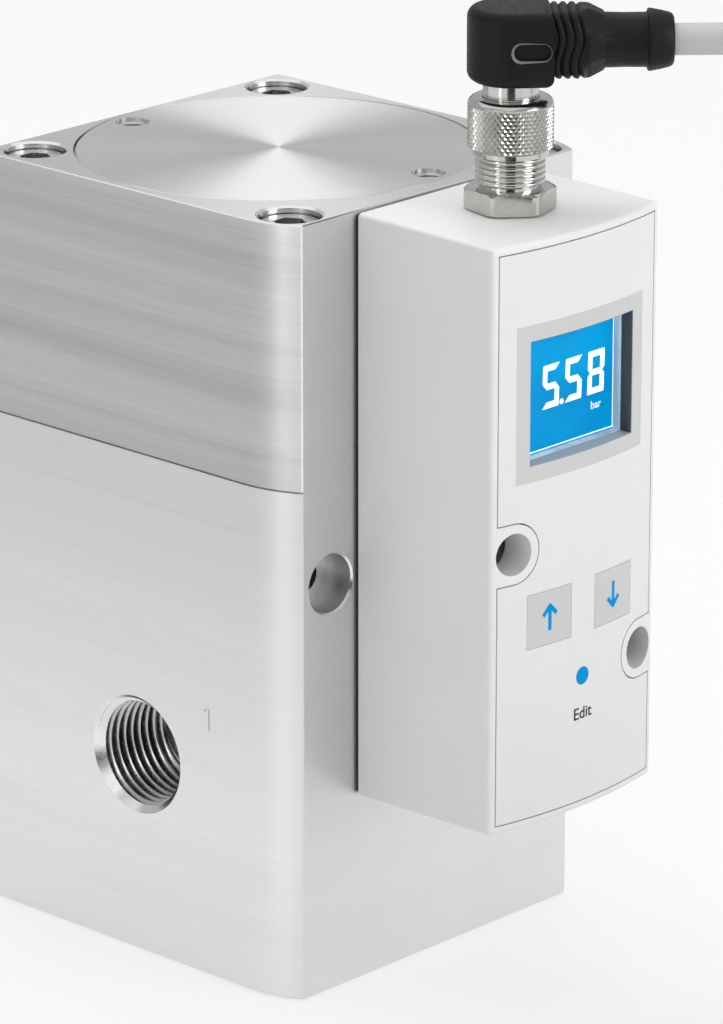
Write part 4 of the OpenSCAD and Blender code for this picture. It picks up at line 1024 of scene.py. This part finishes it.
def digit(char, x):
    """A slanted seven-segment digit with mitred bars, with its left side at x."""
    w, h, t, g = DIGIT_W, DIGIT_H, DIGIT_T, DIGIT_GAP
    mid, half = h / 2, t / 2
    top = [(g, h), (w - g, h), (w - t - g, h - t), (t + g, h - t)]
    side = [(0, h - g), (t, h - t - g), (t, mid + half + g), (half, mid + g), (0, mid + half + g)]
    right = [(w - px, pz) for px, pz in side]
    middle = [(half, mid), (t, mid + half), (w - t, mid + half)]
    bars = {
        "a": top, "d": [(px, h - pz) for px, pz in top],
        "f": side, "e": [(px, h - pz) for px, pz in side],
        "b": right, "c": [(px, h - pz) for px, pz in right],
        "g": middle + [(w - px, h - pz) for px, pz in middle],
    }
    return [[(x + px + DIGIT_LEAN * pz, DIGIT_Z + pz) for px, pz in bars[name]] for name in SEGMENTS[char]]


def make_reading():
    """The digits and the unit, with a pale glowing line round the lit field as a painted highlight of the
    glass's edges.
    """
    polys = [bar for char, x in DIGITS for bar in digit(char, x)]
    polys.append([(POINT_X + px, DIGIT_Z + POINT_R + pz) for px, pz in squircle(POINT_R, POINT_R, 3, 20)])
    # Pale bars at the bottom and the sides of the lit field: a painted highlight
    left, right, low, high, line = -12.9, 12.9, 100.6, 122.0, 0.2
    for x0, x1, z1 in ((left, right, low + line), (left, left + line, high), (right - line, right, high)):
        polys.append([(x0, low), (x1, low), (x1, z1), (x0, z1)])
    unit_word = letters("bar", 1.4, (8.4, 105.0), 0.008)
    for name, shapes in (("display_digits", polys), ("display_unit", unit_word)):
        raised(name, shapes, SEGMENT, ROOT, lambda x: LCD_Y, 0.03, 0.02, 50)


def recess_outline(inset):
    half, low, high = RECESS[0] - inset, RECESS[1] + inset, RECESS[2] - inset
    return [(-half, low), (half, low), (half, high), (-half, high)]


def make_window_highlight():
    """A pale glowing sleeve at the clear window's sides: a painted highlight of the glass's edges."""
    edge = prism(recess_outline(0.02), LCD_Y - 0.04, WINDOW_Y + 0.05, "y")
    obj = make("window_highlight", *edge, WINDOW_HIGHLIGHT, None)
    cut(obj, tool(prism(recess_outline(0.08), FRONT - 20, FRONT - 40, "y")))
    coat(obj.data, WINDOW_HIGHLIGHT)
    stand_in(obj, "clear_window")


make_window_highlight()
make_reading()


def make_recess_shade():
    """A dark sheet on the top and sides of the display's recess: painted shade on its walls."""
    inset, wall = 0.03, 0.12
    half, low, high = RECESS[0] - inset, RECESS[1] + inset, RECESS[2] - inset
    xs = [-half + 2 * half * i / 16 for i in range(1, 16)]

    def box(edge, back, floor, top, front):
        rings = []
        for x in [-edge] + xs + [edge]:
            rings.append([(x, back, floor), (x, front(x), floor), (x, front(x), top), (x, back, top)])
        return loft(rings)

    outer = box(half, WINDOW_Y, low, high, lambda x: front_y(x) + 0.15)
    inner = box(half - wall, WINDOW_Y + 3, low - 10 * wall, high - wall, lambda x: FRONT - 40)
    obj = make("display_recess_shade", *outer, RECESS_SHADE, None, 30)
    cut(obj, tool(inner))
    coat(obj.data, RECESS_SHADE)
    stand_in(obj, "black_plastic")


make_recess_shade()


# Blocks and the threads of the cap

CORNER_X, CORNER_Y, CORNER_R = 14.5, 11.5, 23.0
BACK_CHAMFER = 0.25


def block_outline(inset=0.0):
    """The block seen from above, with a fine chamfer at its two front edges."""
    r = CORNER_R - inset
    sweep = math.degrees(math.asin((CORNER_Y - inset) / r))
    edge = CORNER_X + r * math.cos(math.radians(sweep))
    right = arc(CORNER_X, FRONT + CORNER_Y, r, 0, -(sweep - 0.5), 20) + [(edge - 0.2, FRONT + inset)]
    back, side = BACK - inset, HALF_W - inset
    half = [(side - BACK_CHAMFER, back), (side, back - BACK_CHAMFER)] + right
    return half + [(-x, y) for x, y in half[::-1]]


def seam_outline(depth):
    """The foot of the seam's groove, which is cut into the sides and the back but not the front."""
    return [(x, FRONT + 0.02 if y < FRONT + depth + 0.05 else y) for x, y in block_outline(depth)]


def drill(obj, start, end, r, n=96, wide=None):
    """Cuts a round bar out of a piece. Its start may have a wider radius."""
    a, b = Vector(start), Vector(end)
    u = (b - a).orthogonal().normalized()
    v = (b - a).normalized().cross(u)
    ends = ((a, wide or r), (b, r))
    cut(obj, tool(loft([[p + q * (u * c + v * s) for c, s in unit(n)] for p, q in ends])))


def turned_cut(obj, steps, n, x=0, y=0):
    """Cuts a turned form of (radius, height) out of a piece."""
    cut(obj, tool(loft([[(x + r * c, y + r * s, z) for c, s in unit(n)] for r, z in steps])))


def helix_cut(length, pitch, r_in, r_out):
    """A vee groove along a helix, round the x axis from the origin."""
    per = 48
    rings = []
    for i in range(int(per * (length / pitch)) + 1):
        a = 2 * math.pi * i / per
        x = pitch * i / per
        c, s = math.cos(a), math.sin(a)
        section = ((x - 0.8, r_in), (x + 0.8, r_in), (x + 0.12, r_out), (x - 0.12, r_out))
        rings.append([(px, r * c, r * s) for px, r in section])
    return loft(rings)


PORT_Y, PORT_Z, PORT_R, PORT_BORE, PORT_CHAMFER, PORT_DEPTH = -0.8, 37.0, 11.9, 9.3155, 1.5845, 16
PORT_THREAD = (16.4, 1.814, 9.15, 10.35)
INLET = ((-HALF_W + 15, PORT_Y, PORT_Z), (0, PORT_Y, PORT_Z), 7)
OUTLET = ((27, PORT_Y, PORT_Z), (14, PORT_Y, 59), 5.5)
SENSOR_WAY = ((0, FRONT + 20, 59), (0, FRONT - 1, 59), 1)
MOUNT_X, MOUNT_Z, MOUNT_R, MOUNT_BORE, MOUNT_DEPTH, MOUNT_CHAMFER = 27.5, 75.3, 5.25, 2.75, 6.0, 0.3
SEAM_GAP, SEAM_DEPTH = 0.35, 0.9
SCREWS = [(x, y) for x in (-30.5, 30.5) for y in (29.8, -32.2)]
TAP_LOW, TAP_HIGH, TAP_R = 81.5, 95, 3.05
BOSS_TAP_R, BOSS_TAP_DEPTH = 2.05, 10
PILOT_X, PILOT_Z, PILOT_R, PILOT_DEPTH = 9.2, 111, 1, 13.5
# Turned cuts as (radius, height)
BORE = (
    (15.5, -1), (15.5, 22), (13, 22), (13, 46), (8, 46), (8, 50), (21, 50), (21, 68),
    (23, 68), (23, 82), (27, 82), (27, 92.3), (32.1, 92.3), (32.1, 95),
)
CAP_BORE = ((27, SEAM - 1), (27, 132.5), (36, 132.5), (36, TOP + 1))
SCREW_BORE = ((3.3, SEAM - 1), (3.3, 133.2), (5.5, 133.2), (5.5, TOP - 0.4), (6.9, TOP + 1))
# The port's engraved number
NUMBER_Y, NUMBER_Z, NUMBER_DEPTH = -18.9, 46.0, 0.16
NUMBER = (
    (-0.18, 0.0), (0.18, 0.0), (0.18, 4.6), (-0.12, 4.6), (-1.2, 3.6), (-1.0, 3.3), (-0.18, 3.95),
)


def body_finish(at, normal):
    """Index of a face's material.

    1 and 2 are in a port and on its mouth, and 3, 4 and 5 on a mount hole's rim, wall and seat.
    The port's darker tone is painted shade, and the rim's and the seat's pale tones are painted highlights.
    """
    inside = abs(at.x) < HALF_W - 0.01 and math.hypot(at.y - PORT_Y, at.z - PORT_Z) < PORT_R
    if inside and abs(at.x) > 10:
        return 2 if 0.4 < abs(normal.x) < 0.95 and abs(at.x) > HALF_W - 1.6 else 1
    if math.hypot(abs(at.x) - MOUNT_X, at.z - MOUNT_Z) < MOUNT_R + MOUNT_CHAMFER and 0.05 < at.y - FRONT < 7:
        return 4 if normal.y > -0.3 else 3 if at.y < FRONT + 1 else 5
    return 0


def make_body():
    rings = []
    for z, inset in ((0, 0.3), (0.3, 0), (SEAM - SEAM_GAP, 0)):
        rings.append([(x, y, z) for x, y in block_outline(inset)])
    for z in (SEAM - SEAM_GAP, SEAM):
        rings.append([(x, y, z) for x, y in seam_outline(SEAM_DEPTH)])
    obj = make("valve_block", *loft(rings), BODY, None, 20)
    turned_cut(obj, BORE, 96)
    for side in (-1, 1):
        face, mouth, deep = [
            (side * (HALF_W - x), PORT_Y, PORT_Z) for x in (-1, PORT_CHAMFER, PORT_DEPTH)
        ]
        drill(obj, face, deep, PORT_BORE)
        drill(obj, face, mouth, PORT_BORE, wide=PORT_R)
        verts, faces = helix_cut(*PORT_THREAD)
        verts = [(side * (HALF_W - 0.4 - x), y + PORT_Y, z + PORT_Z) for x, y, z in verts]
        cut(obj, tool((verts, faces)))
        x = side * MOUNT_X
        for depth, r, wide in (
            (BACK + 1 - FRONT, MOUNT_BORE, None),
            (MOUNT_DEPTH, MOUNT_R, None),
            (MOUNT_CHAMFER, MOUNT_R, MOUNT_R + MOUNT_CHAMFER + 0.5),
        ):
            drill(obj, (x, FRONT - 0.5, MOUNT_Z), (x, FRONT + depth, MOUNT_Z), r, 64, wide)
    drill(obj, *INLET, 64)
    drill(obj, *OUTLET, 64)
    for x, y in SCREWS:
        drill(obj, (x, y, TAP_LOW), (x, y, TAP_HIGH), TAP_R, 48)
    for side, z in BOSSES:
        x = side * BOSS_X
        drill(obj, (x, FRONT + BOSS_TAP_DEPTH, z), (x, FRONT - 1, z), BOSS_TAP_R, 32)
    drill(obj, *SENSOR_WAY, 24)
    depths = (-HALF_W - 1, -HALF_W + NUMBER_DEPTH)
    number = loft([[(x, NUMBER_Y - y, NUMBER_Z + z) for y, z in NUMBER] for x in depths])
    cut(obj, tool(number))
    # Painted shade in the ports, and painted highlights on the mount holes' rims and seats
    coat(obj.data, BODY, SHADED_THREAD, MOUTH, EDGE_HIGHLIGHT, DRILLED, SEAT_HIGHLIGHT)
    for p in obj.data.polygons:
        p.material_index = body_finish(p.center / MM, p.normal)
    soften(obj.data, 20)
    keep_flat(obj)
    stand_in(obj, "body_aluminium", "valve_body")


def make_head():
    rings = []
    for z, inset in ((SEAM, 0.0), (TOP - 0.2, 0.0), (TOP, 0.2)):
        rings.append([(x, y, z) for x, y in block_outline(inset)])
    obj = make("pilot_block", *loft(rings), HEAD, None, 20)
    turned_cut(obj, CAP_BORE, 128)
    for x, y in SCREWS:
        turned_cut(obj, SCREW_BORE, 64, x, y)
    for x in (-PILOT_X, PILOT_X):
        drill(obj, (x, FRONT + PILOT_DEPTH, PILOT_Z), (x, FRONT - 1, PILOT_Z), PILOT_R, 24)
    coat(obj.data, HEAD, EDGE_HIGHLIGHT)
    # The front chamfers and the top rim take a paler tone: a painted highlight along these edges
    for p in obj.data.polygons:
        n = p.normal
        upright = abs(n.z) < 0.05 and n.y < -0.6 and 0.3 < abs(n.x) < 0.8 and p.area < 2e-5
        if upright or (0.4 < n.z < 0.95 and p.center.z > (TOP - 0.21) * MM):
            p.material_index = 1
    soften(obj.data, 20)
    keep_flat(obj)
    stand_in(obj, "head_aluminium", "pilot_head")


SPANNER_OUT, SPANNER_R, SPANNER_TURN = 31.5, 3.0, 99.6


def make_spanner_threads():
    """Fine threads in the two spanner holes of the cap."""
    high, low, pitch, deep = TOP - 0.8, TOP - 4.9, 0.7, 0.3
    profile = []
    z = high
    while z > low + pitch:
        profile += [(SPANNER_R - 0.02, z), (SPANNER_R - deep, z - pitch / 2)]
        z -= pitch
    profile += [(SPANNER_R - 0.02, z), (SPANNER_R + 0.05, z), (SPANNER_R + 0.05, high)]
    for i in (0, 1):
        a = math.radians(SPANNER_TURN + 180 * i)
        at = (SPANNER_OUT * math.cos(a), SPANNER_OUT * math.sin(a))
        obj = lathe("spanner_thread_%d" % (i + 1), profile, SHADED_THREAD, 64, at)


make_body()
make_head()
make_spanner_threads()


# Solids that keep their shape

FINISH = (
    (CAP, "top_cap upper_plate"),
    (BODY, "exhaust_plug"),
    (ZINC, "head_screws control_stem plate_nut poppet_spring fill_plunger vent_plunger pressure_sensor"),
    (DARK_STEEL, "housing_screws"),
    (BRASS, "stem_guide main_poppet"),
    (NICKEL, "socket_nut"),
    (GOLD, "contact_pins"),
    (RUBBER, "top_cap_seal diaphragm plug_seal tail_seal housing_gasket"),
    (PANEL, "front_panel"),
    (GREY, "display_frame up_key down_key"),
    (BLUE, "edit_key"),
    (WINDOW, "display_lens"),
    (DISPLAY, "lcd_module"),
    (BOARD, "circuit_board"),
    (BLACK, "key_switches board_components fill_valve vent_valve pin_carrier plug_insert"),
)
ROUNDED = {
    "top_cap": (0.15, 2), "head_screws": (0.5, 3), "display_lens": (0.5, 3), "front_panel": (0.03, 1),
}
for mat, nodes in FINISH:
    for node in nodes.split():
        coat(NODES[node].data, mat)
for node, (width, segments) in ROUNDED.items():
    bevel(NODES[node], width, segments)


# Floor, world and lamps

FLOOR_SIZE, FLOOR_DROP, FLOOR_GLOW, SKY = 20.0, 0.0004, 0.7, 0.55
FLAG_AWAY, FLAG_HALF = 0.42, 0.12


def make_stage():
    """A white floor that glows for the camera and for reflections, under an even sky."""
    bm = bmesh.new()
    bmesh.ops.create_grid(bm, x_segments=1, y_segments=1, size=FLOOR_SIZE)
    mesh = bpy.data.meshes.new("floor")
    bm.to_mesh(mesh)
    bm.free()
    floor = bpy.data.objects.new("floor", mesh)
    floor.location.z = -FLOOR_DROP
    SCENE.collection.objects.link(floor)
    s = Shade("floor_white", (0.86, 0.86, 0.86), 0.9)
    out = s.tree.nodes["Material Output"]
    glow = s.node("ShaderNodeEmission")
    glow.inputs["Strength"].default_value = 1.0
    path = s.node("ShaderNodeLightPath")
    seen = s.math("MAXIMUM", path.outputs["Is Camera Ray"], path.outputs["Is Glossy Ray"])
    seen = s.math("MAXIMUM", seen, path.outputs["Is Transmission Ray"])
    mix = s.node("ShaderNodeMixShader")
    s.link(s.math("MULTIPLY", seen, FLOOR_GLOW), mix.inputs[0])
    s.link(s.bsdf.outputs[0], mix.inputs[1])
    s.link(glow.outputs[0], mix.inputs[2])
    s.link(mix.outputs[0], out.inputs["Surface"])
    mesh.materials.append(s.mat)

    world = bpy.data.worlds.new("studio")
    world.use_nodes = True
    SCENE.world = world
    sky = world.node_tree.nodes["Background"]
    sky.inputs["Color"].default_value = (1.0, 1.0, 1.0, 1.0)
    sky.inputs["Strength"].default_value = SKY


def lamp(name, at, aim, size, watts, gloss=True, diffuse=True):
    """A soft box that the camera doesn't see. It may light gloss alone, or all but gloss."""
    data = bpy.data.lights.new(name, "AREA")
    data.shape = "RECTANGLE"
    data.size, data.size_y = size
    data.energy = watts
    obj = bpy.data.objects.new(name, data)
    obj.location = at
    obj.rotation_mode = "QUATERNION"
    obj.rotation_quaternion = (Vector(aim) - Vector(at)).to_track_quat("-Z", "Y")
    obj.visible_camera = False
    obj.visible_glossy, obj.visible_diffuse = gloss, diffuse
    SCENE.collection.objects.link(obj)


def make_flag(name, turn, height):
    """A dark card beside the set, which only reflections in metal see."""
    a = math.radians(turn)
    across, out = Vector((math.cos(a), math.sin(a), 0)), Vector((math.sin(a), -math.cos(a), 0))
    centre = Vector((0, SOCKET_Y * MM, 0)) + FLAG_AWAY * out
    ends = [centre + side * FLAG_HALF * across for side in (-1, 1)]
    up = Vector((0, 0, height))
    mesh = bpy.data.meshes.new(name)
    mesh.from_pydata([*ends, *(p + up for p in ends[::-1])], [], [(0, 1, 2, 3)])
    mesh.materials.append(moulded(name, (0.02, 0.02, 0.02), 0.8))
    obj = bpy.data.objects.new(name, mesh)
    SCENE.collection.objects.link(obj)
    obj.visible_camera = obj.visible_diffuse = obj.visible_shadow = obj.visible_transmission = False


make_stage()
make_flag("flag_near", VIEW_TURN, 0.20)
make_flag("flag_far", VIEW_TURN + 180, 0.19)
lamp("top_box", (0.1, 0.25, 1.25), (0.0, -0.02, 0.1), (0.9, 0.9), 7.5, gloss=False)
lamp("ceiling", (0.1, 0.25, 1.25), (0.1, 0.25, 0.0), (2.0, 2.0), 5.0, diffuse=False)
lamp("far_strip", (0.69, 0.66, 1.10), (0.0, 0.0, 0.14), (0.30, 0.50), 0.9, diffuse=False)
lamp("front_box", (0.35, -1.15, 0.52), (0.0, -0.04, 0.08), (0.6, 0.9), 6.5)
lamp("left_box", (-1.2, -0.35, 0.7), (0.0, 0.0, 0.08), (0.8, 0.8), 1.0)
lamp("left_strip", (-0.6, -0.03, 0.31), (0.0, -0.03, 0.31), (0.10, 0.60), 0.4, diffuse=False)

SCENE.view_settings.view_transform = "Standard"
